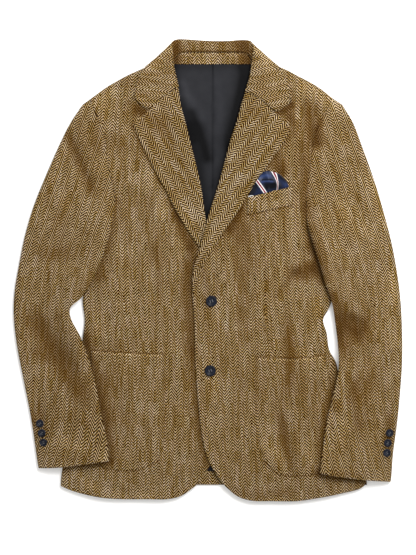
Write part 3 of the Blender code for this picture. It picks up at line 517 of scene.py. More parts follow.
# %% Cloth and levels
TWEED, SLEEVE_CLOTH, BACK_CLOTH, LINING_CLOTH = 2.0 * MM, 1.8 * MM, 1.6 * MM, 1.0 * MM
LAPEL_CLOTH, COLLAR_CLOTH = 2.4 * MM, 2.2 * MM
LAPEL_GAP, LINING_LIFT, EDGE_GAP = 1.2 * MM, 1.0 * MM, 0.6 * MM
FOLD_HEIGHT, SIDE_HEIGHT, CHEST_HEIGHT = 4.5 * MM, 9 * MM, 15 * MM
SLEEVE_THICKNESS, CUFF_THICKNESS, SLEEVE_REST_GAP = 11.5 * MM, 9.5 * MM, 1.6 * MM
SIDE_TURN, SHOULDER_TURN, UNDER_TURN, SLEEVE_TURN = 12 * MM, 14 * MM, 6 * MM, 11 * MM
LAPEL_LIP, LAPEL_TURN = 5.0 * MM, 6.5 * MM
CENTRE = 6 * MM
POCKET_SIDES = {"left": (-223 * MM, -70 * MM), "right": (78 * MM, 236 * MM)}


def bed(x, y):
    """How far the back and all on it are lifted by the collar's fall behind the neck."""
    across = 1 - ease(np.abs(x - CENTRE), 0.128, 0.190)
    return 2.6 * MM * across * ease(y, 0.215, 0.330)


def body_height(x, y):
    """The fronts' upper face before their sides turn down: low at the sides and hem."""
    away = np.minimum(*(distance(x, y, SEAMS[side]["pressed"]) for side in SEAMS))
    height = SIDE_HEIGHT + (CHEST_HEIGHT - SIDE_HEIGHT) * ease(away, 0.004, 0.080)
    height = height - 3 * MM * (1 - ease(y, -0.400, -0.320)) * ease(away, 0, 0.060)
    worn = crease_depth(x, y, BODY_CREASES) - ripple(x, y)
    return height - worn * ease(away, -0.010, 0.040)


def turned_at(x, y, height, edge_height, lines, reach):
    """The height with the cloth turned down to edge_height along these lines."""
    for line in lines:
        height = edge_height + (height - edge_height) * quarter(distance(x, y, line) / reach)
    return height


def loft(x, y):
    """The fronts' upper face, turned down along the shoulders and the sides."""
    edge = FOLD_HEIGHT + EDGE_GAP + bed(x, y)
    sides = [SEAMS[side]["side"] for side in SEAMS]
    shoulders = [SEAMS[side]["outline"] for side in SEAMS]
    height = turned_at(x, y, body_height(x, y), edge, sides, SIDE_TURN)
    return turned_at(x, y, height, edge, shoulders, SHOULDER_TURN)


def front_height(side):
    """The left front dips to pass under the right one, which rises over the left lapel."""

    def left(x, y):
        return loft(x, y) - 3.1 * MM * ease(x, -0.085, -0.028) * (1 - ease(y, 0.095, 0.230))

    def right(x, y):
        return loft(x, y) + 4.6 * MM * bump(np.hypot((x - 0.004) / 0.040, (y - 0.050) / 0.066), 1)

    return left if side == "left" else right


# %% Sleeve levels
def into_body(x, y, side):
    """Distance past the body's side line, positive over the body."""
    line = SEAMS[side]["pressed"]
    edge = np.interp(-y, -line[:, 1], line[:, 0])
    inside = x > edge if side == "left" else x < edge
    return distance(x, y, line) * np.where(inside, 1, -1)


def pocket_rise(x, y, side):
    """What a patch pocket adds to the height that a sleeve lies on."""
    low, high = POCKET_SIDES[side]
    rise = ease(x, low - 0.020, low) * (1 - ease(x, high, high + 0.020))
    return 2.6 * MM * rise * (1 - ease(y, -0.130, -0.105))


def sleeve_rest(x, y, side):
    """The height that a sleeve's lower face rests at: the table, or the body it lies over."""
    over = body_height(x, y) + pocket_rise(x, y, side) + SLEEVE_REST_GAP
    below = ease(SEAMS[side]["low_end"] - y, 0, 0.022)
    return below * over * ease(into_body(x, y, side), -0.052, 0.003)


def sleeve_top_height(x, y, side):
    """The upper face of a sleeve, turned down along its outer and inner edges."""
    lines = SEAMS[side]
    full = CUFF_THICKNESS + (SLEEVE_THICKNESS - CUFF_THICKNESS) * ease(y, -0.300, 0)
    full = full - crease_depth(x, y, SLEEVE_CREASES) + ripple(x, y)
    outer = quarter(distance(x, y, lines["outline"]) / SLEEVE_TURN)
    inner = quarter(distance(x, y, lines["inner"]) / SLEEVE_TURN)
    edge = FOLD_HEIGHT + EDGE_GAP
    tube = sleeve_rest(x, y, side) + edge + (full - edge) * outer * inner
    share = 1 - ease(distance(x, y, lines["armhole"]), 0, 0.040)
    return share * loft(x, y) + (1 - share) * tube


def sleeve_under_height(x, y, side):
    """The lower face of a sleeve, turned up along its edges."""
    outer = 1 - quarter(distance(x, y, SEAMS[side]["outline"]) / UNDER_TURN)
    inner = 1 - quarter(distance(x, y, SEAMS[side]["inner"]) / UNDER_TURN)
    curl = np.maximum(outer, inner * ease(SEAMS[side]["low_end"] - y, -0.004, 0.008))
    return sleeve_rest(x, y, side) + (FOLD_HEIGHT - EDGE_GAP) * curl


def back_height(x, y):
    """The lower face of the back, flat, turned up along the sides and shoulders."""
    curl = np.zeros(np.shape(x))
    for lines in SEAMS.values():
        curl = np.maximum(curl, 1 - quarter(distance(x, y, lines["side"]) / UNDER_TURN))
        curl = np.maximum(curl, 1 - quarter(distance(x, y, lines["outline"]) / UNDER_TURN))
    clear_of_collar = ease(np.abs(x - CENTRE), 0.060, 0.095)
    return bed(x, y) + (FOLD_HEIGHT - EDGE_GAP) * curl * clear_of_collar


# %% [markdown]
# ## Shader maths in Python
#
# A node tree is arithmetic drawn with wires. This small class lets the lesson write it as
# arithmetic instead: it holds one socket, and each operator adds the node that does that sum.
# Numbers go through Math nodes, and colours through Vector Math and Mix.

# %% Shader maths
class Wire:
    """One output socket of a shader tree, for use in Python expressions."""

    def __init__(self, tree, socket):
        self.tree, self.socket = tree, socket

    @classmethod
    def node(cls, tree, kind, settings=None, inputs=None, out=0):
        """A new node: its settings first, then the values or wires of its sockets."""
        made = tree.nodes.new(kind)
        for name, value in (settings or {}).items():
            if name == "stops":
                ramp = made.color_ramp.elements
                ends = [ramp[0], *(ramp.new(place) for place, colour in value[1:-1]), ramp[-1]]
                for stop, (place, colour) in zip(sorted(ends, key=lambda e: e.position), value):
                    stop.position, stop.color = place, colour
            else:
                setattr(made, name, value)
        for name, value in (inputs or {}).items():
            if isinstance(value, cls):
                tree.links.new(value.socket, made.inputs[name])
            else:
                made.inputs[name].default_value = value
        return cls(tree, made.outputs[out])

    def number(self, operation, *others):
        inputs = dict(enumerate((self, *others)))
        return Wire.node(self.tree, "ShaderNodeMath", {"operation": operation}, inputs)

    def __add__(self, other): return self.number("ADD", other)
    def __radd__(self, other): return self.number("ADD", other)
    def __sub__(self, other): return self.number("SUBTRACT", other)
    def __rsub__(self, other): return (-1 * self).number("ADD", other)
    def __mul__(self, other): return self.number("MULTIPLY", other)
    def __rmul__(self, other): return self.number("MULTIPLY", other)
    def __truediv__(self, other): return self.number("DIVIDE", other)
    def __mod__(self, other): return self.number("FLOORED_MODULO", other)
    def __lt__(self, other): return self.number("LESS_THAN", other)
    def __gt__(self, other): return self.number("GREATER_THAN", other)

    def floor(self): return self.number("FLOOR")
    def power(self, other): return self.number("POWER", other)
    def clamped(self): return self.number("MAXIMUM", 0.0).number("MINIMUM", 1.0)

    def between(self, low, high):
        """Runs smoothly from 0 to 1 as this number runs from low to high."""
        settings = {"interpolation_type": "SMOOTHSTEP"}
        inputs = {"Value": self, "From Min": low, "From Max": high}
        return Wire.node(self.tree, "ShaderNodeMapRange", settings, inputs)

    def mixed(self, low, high, number=False):
        """Colour low where this is 0 and high where it is 1, or the same for two numbers."""
        if number:
            return (1 - self) * low + self * high
        settings = {"data_type": "RGBA"}
        inputs = {0: self, 6: low, 7: high}
        return Wire.node(self.tree, "ShaderNodeMix", settings, inputs, 2)

    def times(self, other):
        """This colour times another colour."""
        return Wire.node(self.tree, "ShaderNodeVectorMath", {"operation": "MULTIPLY"}, {0: self, 1: other})

    def plus(self, other):
        """This colour and another one added."""
        return Wire.node(self.tree, "ShaderNodeVectorMath", {"operation": "ADD"}, {0: self, 1: other})

    def tinted(self, factor):
        """This colour times a number or a wire."""
        return Wire.node(self.tree, "ShaderNodeVectorMath", {"operation": "SCALE"}, {0: self, "Scale": factor})


def new_finish(name, **constants):
    """A material, its tree and its main shader, with the values that are the same all over."""
    material = bpy.data.materials.new(name)
    material.use_nodes = True
    shader = material.node_tree.nodes["Principled BSDF"]
    for socket, value in constants.items():
        shader.inputs[socket.replace("_", " ")].default_value = value
    return material, material.node_tree, shader


def finish_with(tree, shader, **wires):
    for socket, wire in wires.items():
        tree.links.new(wire.socket, shader.inputs[socket.replace("_", " ")])


def flat_place(tree):
    """Metres across and along the cloth, as two wires and as one."""
    place = Wire.node(tree, "ShaderNodeUVMap", {"uv_map": "grain"})
    across = Wire.node(tree, "ShaderNodeSeparateXYZ", inputs={0: place}, out=0)
    up = Wire(tree, across.socket.node.outputs[1])
    return across, up, place


# %% [markdown]
# ## The weave
#
# Herringbone is a two-over, two-under twill whose slope turns round every few threads. Pale
# threads run up the cloth and dark ones across. A thread of either kind is on top in two of
# every four crossings, and each crossing is one step further on in the next thread. Counting
# threads gives the real stepped lines, which an image of zigzags would not have close up.
# Tweed yarn is spun from mixed wool, so each yard of it has its own tone, with a few odd flecks
# and a fuzz of loose fibre over all. The fuzz is what the sheen stands for.

# %% Tweed
END = 1.10 * MM  # one upright thread
PICK = 1.315 * MM  # one cross thread
ENDS_PER_STRIPE = 8
YARN = [  # from the shadow between threads to the crown of a pale one
    (0.0, (0.0170, 0.0047, 0.0001, 1)), (0.5, (0.140, 0.063, 0.0025, 1)),
    (0.8, (0.480, 0.331, 0.105, 1)), (1.0, (0.745, 0.615, 0.445, 1)),
]
FLECK = (0.36, 0.30, 0.19, 1)
BATCHES = ((0.80, 0.73, 0.54, 1), (1.17, 1.21, 1.30, 1))
# Painted light: how much paler the cloth is painted where the painted shade runs below nought.
PAINTED_LIGHT_TINT = (1.9, 2.0, 2.15, 1)
# Painted shade for creases, seams and under edges: the pale threads are darkened most, and a painted brown bounce
# light keeps the shade warm.
PAINTED_SHADE_RAMP = [(0.0, (1, 1, 1, 1)), (0.5, (0.46, 0.44, 0.36, 1)), (1.0, (0.23, 0.20, 0.13, 1))]
PAINTED_BOUNCE_RAMP = [(0.0, (0, 0, 0, 1)), (0.5, (0.027, 0.0095, 0.001, 1)), (1.0, (0.024, 0.008, 0.001, 1))]


def noise_at(tree, place, scale, detail, **settings):
    inputs = {"Vector": place, "Scale": scale, "Detail": detail, **settings}
    return Wire.node(tree, "ShaderNodeTexNoise", {"noise_dimensions": "2D"}, inputs)


def tweed_finish():
    material, tree, shader = new_finish(
        "Herringbone_tweed", Roughness=0.95, Sheen_Weight=0.02, Sheen_Roughness=0.55,
        Sheen_Tint=(0.95, 0.80, 0.50, 1), Specular_IOR_Level=0.04,
    )
    across, up, place = flat_place(tree)
    wobble = noise_at(tree, place, 700.0, 1.0) - 0.5
    x = across + wobble * (0.45 * MM)
    y = up - wobble * (0.6 * MM)
    end = (x / END).floor()
    stripe = (x / (END * ENDS_PER_STRIPE)).floor()
    odd = stripe % 2.0
    lean = 1 - 2 * odd
    # How far through its four crossings this thread is. A pale float is the first two of them.
    order = ((end - stripe * ENDS_PER_STRIPE) * lean + y / PICK + 2 * odd) % 4.0
    along_float = (order - 1) / 0.95
    across_float = (x / END) % 1.0 * 2 - 1
    crown = (1 - along_float * along_float - 0.25 * across_float * across_float).clamped()
    # A yarn's tone, which holds for a few centimetres along it.
    cell = Wire.node(tree, "ShaderNodeCombineXYZ", inputs={0: end, 1: (y / 0.021).floor()})
    yarn_tone = Wire.node(tree, "ShaderNodeTexWhiteNoise", {"noise_dimensions": "2D"}, {
        "Vector": cell})
    fibre = noise_at(tree, place, 1500.0, 2.0)
    # The ramp gives the dark cross yarn where no pale float lies, and paints shade on each pale float's round sides
    # and ends, pale at its crown.
    lit = crown.between(0.33, 0.91) * (0.76 + 0.34 * yarn_tone) + 0.10 * crown * (fibre - 0.5)
    woven = Wire.node(tree, "ShaderNodeValToRGB", {"stops": YARN}, {"Fac": lit.clamped()})
    slub = noise_at(tree, place, 420.0, 2.0)
    woven = (slub.between(0.66, 0.80) * 0.7).mixed(woven, FLECK)
    # Batches of wool differ, more across the cloth than along it.
    streaky = Wire.node(tree, "ShaderNodeCombineXYZ", inputs={0: across, 1: 0.28 * up})
    batch = noise_at(tree, streaky, 60.0, 4.0, Roughness=0.65)
    woven = woven.times(batch.between(0.25, 0.75).mixed(*BATCHES))
    # Each piece carries painted shade: it darkens and browns the cloth where shade falls, and below nought it paints
    # the cloth paler, as painted light.
    crevice = Wire.node(tree, "ShaderNodeAttribute", {"attribute_name": "crevice"}, out="Fac")
    woven = woven.times(Wire.node(tree, "ShaderNodeValToRGB", {"stops": PAINTED_SHADE_RAMP}, {"Fac": crevice}))
    woven = woven.plus(Wire.node(tree, "ShaderNodeValToRGB", {"stops": PAINTED_BOUNCE_RAMP}, {"Fac": crevice}))
    woven = woven.times((crevice * -1.0).clamped().mixed((1, 1, 1, 1), PAINTED_LIGHT_TINT))
    normal = Wire.node(tree, "ShaderNodeBump", inputs={
        "Strength": 0.3, "Distance": 0.25 * MM, "Height": crown + 0.4 * fibre})
    finish_with(tree, shader, Base_Color=woven, Normal=normal)
    return material


# %% [markdown]
# ## Lining, silk and buttons
#
# The lining is a close dark twill with a soft shine. The folded silk has the same fine grain and
# two pale and red stripes, which follow its folds because they are laid out in its own flat
# place. Buttons are pressed plastic with a faint marbling.

# %% Lining, silk and button finishes
STRIPE_WHITE, STRIPE_RED = (0.72, 0.70, 0.70, 1), (0.18, 0.011, 0.023, 1)


def fine_twill(tree, pitch):
    """The ribs of a fine cloth, and the wires that place them."""
    across, up, place = flat_place(tree)
    rib = ((across + up) / pitch) % 1.0
    return across, up, place, rib * (1 - rib) * 4


def lining_finish():
    material, tree, shader = new_finish(
        "Lining_twill", Sheen_Weight=0.004, Sheen_Roughness=0.4, Specular_IOR_Level=0.04)
    across, up, place, rib = fine_twill(tree, 0.6 * MM)
    tone = Wire.node(tree, "ShaderNodeTexNoise", {"noise_dimensions": "2D"}, {
        "Vector": place, "Scale": 60.0, "Detail": 4.0})
    crevice = Wire.node(tree, "ShaderNodeAttribute", {"attribute_name": "crevice"}, out="Fac")
    colour = tone.mixed((0.0130, 0.0134, 0.0160, 1), (0.0205, 0.0208, 0.0237, 1))
    # The painted shade darkens the lining.
    colour = colour.tinted((0.85 + 0.3 * rib) * (1 - 0.85 * crevice))
    normal = Wire.node(tree, "ShaderNodeBump", inputs={
        "Strength": 0.25, "Distance": 0.1 * MM, "Height": rib})
    finish_with(tree, shader, Base_Color=colour, Roughness=0.40 + 0.15 * tone, Normal=normal)
    return material


def silk_finish():
    material, tree, shader = new_finish(
        "Striped_silk", Sheen_Weight=0.04, Sheen_Roughness=0.3, Sheen_Tint=(0.5, 0.62, 1, 1),
        Specular_IOR_Level=0.14)
    across, up, place, rib = fine_twill(tree, 0.5 * MM)
    wave = Wire.node(tree, "ShaderNodeTexNoise", {"noise_dimensions": "2D"}, {
        "Vector": place, "Scale": 140.0, "Detail": 3.0})
    colour = wave.mixed((0.005, 0.008, 0.022, 1), (0.012, 0.020, 0.055, 1))
    from_middle = across + (wave - 0.5) * (0.3 * MM)
    white = 1 - from_middle.between(2.9 * MM, 3.4 * MM)
    red = 1 - from_middle.between(1.3 * MM, 1.8 * MM)
    crevice = Wire.node(tree, "ShaderNodeAttribute", {"attribute_name": "crevice"}, out="Fac")
    # Painted shade in the silk's hollows, and painted highlights on its ridges where the value runs below nought.
    colour = colour.tinted(1 - crevice.between(0.0, 1.0) * 0.85 + (crevice * -1.0).clamped() * 2.5)
    colour = red.mixed(white.mixed(colour, STRIPE_WHITE), STRIPE_RED)
    colour = colour.tinted((0.85 + 0.3 * rib) * (1 - 0.35 * crevice.clamped()))
    normal = Wire.node(tree, "ShaderNodeBump", inputs={
        "Strength": 0.2, "Distance": 0.1 * MM, "Height": rib})
    finish_with(tree, shader, Base_Color=colour, Roughness=0.30 + 0.15 * wave, Normal=normal)
    return material


def button_finish():
    material, tree, shader = new_finish("Button_plastic", Specular_IOR_Level=0.16)
    where = Wire.node(tree, "ShaderNodeTexCoord", out="Object")
    swirl = Wire.node(tree, "ShaderNodeTexNoise", inputs={
        "Vector": where, "Scale": 260.0, "Detail": 3.0, "Distortion": 1.2})
    colour = swirl.between(0.35, 0.7).mixed((0.0035, 0.0045, 0.008, 1), (0.011, 0.014, 0.024, 1))
    scuff = Wire.node(tree, "ShaderNodeTexNoise", inputs={
        "Vector": where, "Scale": 900.0, "Detail": 2.0})
    finish_with(tree, shader, Base_Color=colour, Roughness=0.18 + 0.18 * scuff)
    return material


def thread_finish(name, pale, dark):
    """Twisted sewing thread: a fine mottle of a pale and a dark tone."""
    material, tree, shader = new_finish(name, Roughness=0.8, Specular_IOR_Level=0.2)
    where = Wire.node(tree, "ShaderNodeTexCoord", out="Object")
    twist = Wire.node(tree, "ShaderNodeTexNoise", inputs={
        "Vector": where, "Scale": 2600.0, "Detail": 1.0})
    finish_with(tree, shader, Base_Color=twist.mixed(dark, pale))
    return material


FINISH = {
    "tweed": tweed_finish(),
    "lining": lining_finish(),
    "satin": silk_finish(),
    "button": button_finish(),
    "button_thread": thread_finish("Button_thread", (0.20, 0.20, 0.22, 1), (0.07, 0.07, 0.085, 1)),
    "seam_thread": thread_finish("Seam_thread", (0.20, 0.12, 0.045, 1), (0.09, 0.05, 0.018, 1)),
}
print("finishes:", ", ".join(FINISH))

# %% [markdown]
# ## From a grid to a piece of cloth
#
# Each piece is an open sheet first, its outer face, because that face is what shows and what the
# heights describe. The Solidify modifier then adds the wall behind it. A pressed edge is rounder
# and thinner than a cut one, so near an edge the face sinks a little and the wall thins with it.
# The flat place of every point is kept in metres in a UV map, and the weave reads it.

# %% Cloth pieces
EDGE_SOFT = 2.4 * MM
SURFACE = {}


def sunk_edge(away, wall, share=0.55):
    """How far the outer face sinks towards an edge at this distance, for this wall."""
    swell = 0.22 * MM * bump(away - 5.0 * MM, 1.1 * MM)  # the row of stitches inside the edge
    return share * wall * (1 - quarter(away / EDGE_SOFT)) + swell


def make_cloth(name, node, xyz, wall, finish, grain, sunk=None, crevice=None, up=True, lined=False,
               facing_rows=None):
    """A piece of cloth that stands for a solid of the frame."""
    x, y, z = xyz
    rows, columns = x.shape
    sunk = np.zeros(x.shape) if sunk is None else sunk
    crevice = np.zeros(x.shape) if crevice is None else crevice
    # Painted broad shade and light strokes go onto the upper face of every tweed piece.
    crevice = crevice + tone(x, y) if finish == "tweed" and up else crevice
    z = z - sunk if up else z + sunk
    number = np.arange(rows * columns).reshape(rows, columns)
    corners = [number[:-1, :-1], number[1:, :-1], number[1:, 1:], number[:-1, 1:]]
    faces = np.stack(corners, axis=-1).reshape(-1, 4)
    points = np.stack([x, y, z], axis=-1).reshape(-1, 3)
    first = faces[: facing_rows * (columns - 1)] if facing_rows else faces
    a, b, c, d = (points[first[:, k]] for k in range(4))
    outward = np.cross(c - a, d - b)
    if (outward[:, 2].sum() > 0) != up:
        faces = faces[:, ::-1]
    mesh = bpy.data.meshes.new(name)
    mesh.from_pydata(points.tolist(), [], faces.tolist())
    flat = mesh.uv_layers.new(name="grain")
    if callable(grain):
        flat.data.foreach_set("uv", grain(faces).astype(np.float32).ravel())
    else:
        place = np.stack(grain, axis=-1).reshape(-1, 2)[faces]
        flat.data.foreach_set("uv", place.astype(np.float32).ravel())
    # The painted shade of each point, with painted light below nought, kept for the finishes to read.
    painted_shade_layer = mesh.attributes.new("crevice", "FLOAT", "POINT")
    painted_shade_layer.data.foreach_set("value", np.clip(crevice, -0.6, 1).astype(np.float32).ravel())
    mesh.shade_smooth()
    mesh.materials.append(FINISH[finish])
    mesh.materials.append(FINISH["lining" if lined else finish])
    piece = bpy.data.objects.new(name, mesh)
    bpy.context.scene.collection.objects.link(piece)
    thickness = piece.vertex_groups.new(name="wall")
    thin = (1 - np.clip(sunk / wall, 0, 0.8)).ravel()
    whole = np.flatnonzero(thin > 0.995)
    thickness.add(whole.tolist(), 1.0, "REPLACE")
    for index in np.flatnonzero(thin <= 0.995):
        thickness.add([int(index)], float(thin[index]), "REPLACE")
    shell = piece.modifiers.new("Wall", "SOLIDIFY")
    shell.thickness, shell.offset = wall, -1.0
    shell.vertex_group = "wall"
    shell.material_offset = 1 if lined else 0
    a, b, c, d = (points[faces[:, k]] for k in range(4))
    SURFACE[name] = 0.5 * np.linalg.norm(np.cross(c - a, d - b), axis=1).sum()
    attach(piece, "root")
    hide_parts(node)
    print(f"{name}: {len(faces)} faces, {SURFACE[name]:.3f} m2, z {z.min() / MM:.1f} to {z.max() / MM:.1f} mm")
    return piece


def turned_grain(x, y, degrees):
    """The flat place with the cloth turned by this angle, as for a lapel."""
    c, s = math.cos(math.radians(degrees)), math.sin(math.radians(degrees))
    return c * x + s * y, c * y - s * x


# %% [markdown]
# ## Back and inside
#
# The back lies on the table and hardly shows, so it is a plain flat sheet in two halves with a
# seam between. Inside the open neck the lining shows, with a pleat down the middle that gives
# the shoulders room to move, below a strip of tweed that carries the hanger loop on real ones.

# %% Back
def moved(line, dx, dy=0.0):
    return line + np.array([dx, dy])


def make_back(side):
    sign = OUTWARD[side]
    beside_centre = CENTRE / MM + 0.15 * sign
    outer = joined(BACK_ARMHOLE[side][:5], BACK_ARMHOLE[side][4:-1] + SIDE[side])
    outer[-1, 1] = -373.5 * MM
    neck = [SHOULDER[side][-1], (CENTRE / MM + 30 * sign, 384), (beside_centre, 384)]
    top = np.vstack([smooth_line(SHOULDER[side]), smooth_line(neck)[1:]])
    centre = smooth_line([(beside_centre, 384), (beside_centre, -373.5)])
    bottom = smooth_line([tuple(outer[-1] / MM), (beside_centre, -373.5)])
    turns = (round_turn(UNDER_TURN, 5), (0, 1 * MM, 3 * MM))
    rows = (round_turn(UNDER_TURN, 5), (0, 1 * MM, 3 * MM))
    x, y = patch(top, bottom, outer, centre, 5 * MM, turns, rows)
    sunk = 0.5 * MM * bump(x - CENTRE, 1.5 * MM)
    z = back_height(x, y)
    # Painted shade down the centre seam, where the cloth sinks.
    make_cloth(f"back_{side}_cloth", f"back_{side}", (x, y, z), BACK_CLOTH, "tweed", (x, y),
               sunk=sunk, crevice=0.6 * bump(x - CENTRE, 1.5 * MM), up=False, lined=True)


for each in OUTWARD:
    make_back(each)

# %% Lining and facings
LINING_SIDE = {
    "left": [
        (-66, 363.3), (-120, 335), (-188, 290), (-168, 200), (-158, 120), (-176, 60), (-204, -30),
        (-208, -90), (-222, -200), (-245, -349),
    ],
    "right": [
        (86, 363.3), (132, 335), (200, 291), (180, 200), (168, 118), (180, 60), (198, -30),
        (195, -85), (218, -200), (262, -349),
    ],
}
PLEAT = 9.6 * MM
# Painted shade under the collar and the lapels, and painted light on a few folds where the amount is below nought.
LINING_SHADES = [  # under the collar and the lapels, where little light gets in
    ([(-66, 360), (90, 360)], 8, 0.35), ([(84, 366), (72, 330), (56, 250), (30, 150)], 12, 0.8),
    ([(-60, 362), (-54, 320)], 9, 0.55), ([(-34, 250), (-18, 190), (-4, 100)], 13, 0.75),
    ([(70, 366), (66, 330), (54, 276), (40, 232)], 18, 1.15), ([(74, 350), (62, 310), (52, 280)], 8, 0.4), ([(-47, 300), (-36, 262), (-27, 235)], 8, 0.6),
    ([(-26, 280), (-15, 250), (-7, 224), (0, 199)], 10, 0.95), ([(17, 335), (22, 290), (20, 250)], 8, -0.2),
    ([(-45, 330), (-28, 296), (-12, 270)], 8, -0.5), ([(25, 246), (26, 230)], 8, -0.2), ([(40, 232), (24, 190), (10, 150)], 7, 0.4),
]


def strip(top, bottom, high, low):
    """Top, bottom, left and right line of a strip, from its left and right x at each end."""
    (a, b), (c, d) = top, bottom
    corners = [(a, high), (b, high)], [(c, low), (d, low)], [(a, high), (c, low)], [(b, high), (d, low)]
    return [smooth_line(pair) for pair in corners]


def make_lining():
    lines = strip((-66, 86), (-245, 262), 363.3, -349)
    lines[2:] = [smooth_line(LINING_SIDE[side]) for side in OUTWARD]
    x, y = patch(*lines, 3.2 * MM)
    z = bed(x, y) + BACK_CLOTH + LINING_LIFT + LINING_CLOTH
    over = ease(x, PLEAT - 1.2 * MM, PLEAT) * (1 - ease(x, PLEAT + 20 * MM, PLEAT + 44 * MM))
    z = z + 1.0 * MM * over + 0.6 * ripple(x, y)
    # Painted shade along the pleat's fold.
    shade = 0.32 * bump(x - PLEAT + 0.8 * MM, 1.3 * MM)
    for path, width, dark in LINING_SHADES:
        shade += dark * bump(distance(x, y, smooth_line(path)), width * MM)
    make_cloth("lining_back_cloth", "lining_back", (x, y, z), LINING_CLOTH, "lining", (x, y),
               crevice=shade)


def neck_shade(x, y):
    """The painted shade in the corners inside the neck, where the collar folds over, and along the stand's seam, with
    a paler painted band just below it.
    """
    left = bump(distance(x, y, smooth_line([(-56, 402), (-57, 362)])), 10 * MM)
    right = bump(distance(x, y, smooth_line([(66, 402), (70, 362)])), 13 * MM)
    seam = 0.60 * bump(y - 0.3865, 2.2 * MM) + 0.16 * ease(y, 0.389, 0.395)
    return 0.95 * left + 1.0 * right + seam - 0.25 * bump(y - 0.381, 2.5 * MM)


def make_facing(name, lines):
    x, y = patch(*lines, 3 * MM, row_turns=(HEMMED[:4], HEMMED[:4]))
    z = bed(x, y) + BACK_CLOTH + LINING_LIFT + BACK_CLOTH
    ends = np.minimum(distance(x, y, lines[0]), distance(x, y, lines[1]))
    # Painted shade in the neck's corners and along the stand's seam.
    make_cloth(f"{name}_cloth", name, (x, y, z), BACK_CLOTH, "tweed", (x, y),
               sunk=sunk_edge(ends, BACK_CLOTH), crevice=neck_shade(x, y))


make_lining()
make_facing("neck_facing", strip((-48, 66), (-66, 84), 384, 363.6))
make_facing("hem_facing", strip((-245, 262), (-248, 266), -349.3, -373.5))

# %% [markdown]
# ## Fronts
#
# Each front is one piece from shoulder to hem. Its outer edge is the armhole and then the side
# fold, and its inner edge is the lapel's roll and then the front edge, which curves away at the
# hem. A dart takes in the waist: a short seam that shows as a fine sunk line with painted shade in
# it, and on the right front the weave jumps there.

# %% Fronts
DART = {
    "left": [(-100, 128), (-90, 40), (-86.6, -50), (-92, -138)],
    "right": [(100, 118), (101, 20), (100.5, -60), (100.6, -122), (105.5, -146)],
}
# Painted shade along the armhole seam, on the fronts and on the tops of the sleeves.
ARMHOLE_PAINTED_SHADE = {"left": 0.22, "right": 0.30}
POCKET = {
    "left": dict(
        top=[(-204, -138), (-181, -140), (-135.5, -142.5), (-78, -145)],
        outer=[(-204, -138), (-205, -225), (-208, -295), (-197, -332)],
        inner=[(-78, -145), (-78, -225), (-78, -295), (-87, -330)],
        bottom=[(-197, -332), (-179.5, -342), (-141, -347.5), (-118, -344), (-87, -330)],
    ),
    "right": dict(
        top=[(202, -144), (195, -148), (162, -151.5), (116.5, -151.5), (86.5, -149.5)],
        outer=[(202, -144), (214, -199), (226, -278), (220, -331)],
        inner=[(86.5, -149.5), (85, -225), (87.5, -285), (99, -330)],
        bottom=[(220, -331), (193.5, -351), (162, -356), (139, -356), (120, -351), (99, -330)],
    ),
}
# Painted shade on the front just outside each pocket edge: the edge, the width and the darkness.
POCKET_EDGE_PAINTED_SHADE = [("top", 2.4, 0.8), ("outer", 1.8, 0.4), ("inner", 1.8, 0.4), ("bottom", 2.0, 0.6)]
WELT = dict(
    top=[(70, 130), (149.5, 149)],
    left=[(70, 130), (69, 99.5)],
    right=[(149.5, 149), (147, 116.5)],
    bottom=[(69, 99.5), (147, 116.5)],
)


# Painted shade beside the edges that lie over each front, with the cloth sunk there too.
UNDER_EDGES = {  # paths beside an edge that lies over a front: width, darkness and hollow in mm
    "left": [
        (FRONT_EDGE["right"], 11, 0.62, 1.2),
        (LAPEL_OUTER["left"][:4], 5, 0.62, 0.5),
        (LAPEL_OUTER["left"][3:6], 4.5, 0.65, 0.6),
        (LAPEL_OUTER["left"][5:7], 7, 0.70, 0.8),
        ([(-54, 98), (-42, 72), (-30, 46)], 10, 0.85, 1.0),
        (SLEEVE_INNER["left"][:4], 8, 0.45, 0.6),
        (SLEEVE_INNER["left"][7:], 11, 0.72, 0.8),
        (CUFF["left"], 8, 0.60, 0.4),
        ([(-121, 284), (-104, 273)], 8, 0.70, 0.4),
    ],
    "right": [
        (LAPEL_OUTER["right"][1:5], 5, 0.45, 0.4),
        (LAPEL_OUTER["right"][8:12], 5, 0.55, 0.6),
        (LAPEL_OUTER["right"][11:14], 4, 0.25, 0.2),
        ([(58, 112), (46, 90), (38, 72)], 9, 0.65, 0.2), ([(56, 82), (61, 59)], 14, 0.25, 0.0),
        (SLEEVE_INNER["right"][:5], 10, 0.50, 0.8),
        (SLEEVE_INNER["right"][8:], 9, 0.50, 0.6),
        (CUFF["right"], 8, 0.60, 0.4),
        ([(117, 274), (132, 284), (146, 292)], 6, 0.85, 0.4),
        ([(134, 279), (141, 270)], 7, 0.50, 0.3),
        ([(147, 290), (149, 262)], 7, 0.40, 0.4), ([(150, 300), (146, 318)], 4, 0.35, 0.2),
        (WELT["bottom"], 2.0, 0.60, 0.3), (WELT["right"], 2.0, 0.40, 0.2),
    ],
}


def under_edges(x, y, side):
    """The painted shade, and how far the cloth sinks, beside the edges that lie over this front."""
    shade, low = np.zeros(np.shape(x)), np.zeros(np.shape(x))
    for path, width, dark, deep in UNDER_EDGES[side]:
        near = bump(distance(x, y, smooth_line(path)), width * MM)
        shade += dark * near
        low += deep * MM * near
    return shade, low


LEAN = {  # how the stripes lean at each height, and how the cross threads fall at each x
    "left": ([(-0.40, -0.03), (-0.22, -0.03), (-0.10, 0.05), (0.06, 0.03), (0.20, -0.10)],
             [(-0.20, 0.11), (0.03, 0.07)]),
    "right": ([(-0.14, 0.06), (-0.05, 0.03), (0.05, 0.03), (0.15, -0.03)],
              [(-0.03, 0.0), (0.05, -0.05), (0.12, -0.16), (0.20, -0.21)]),
}


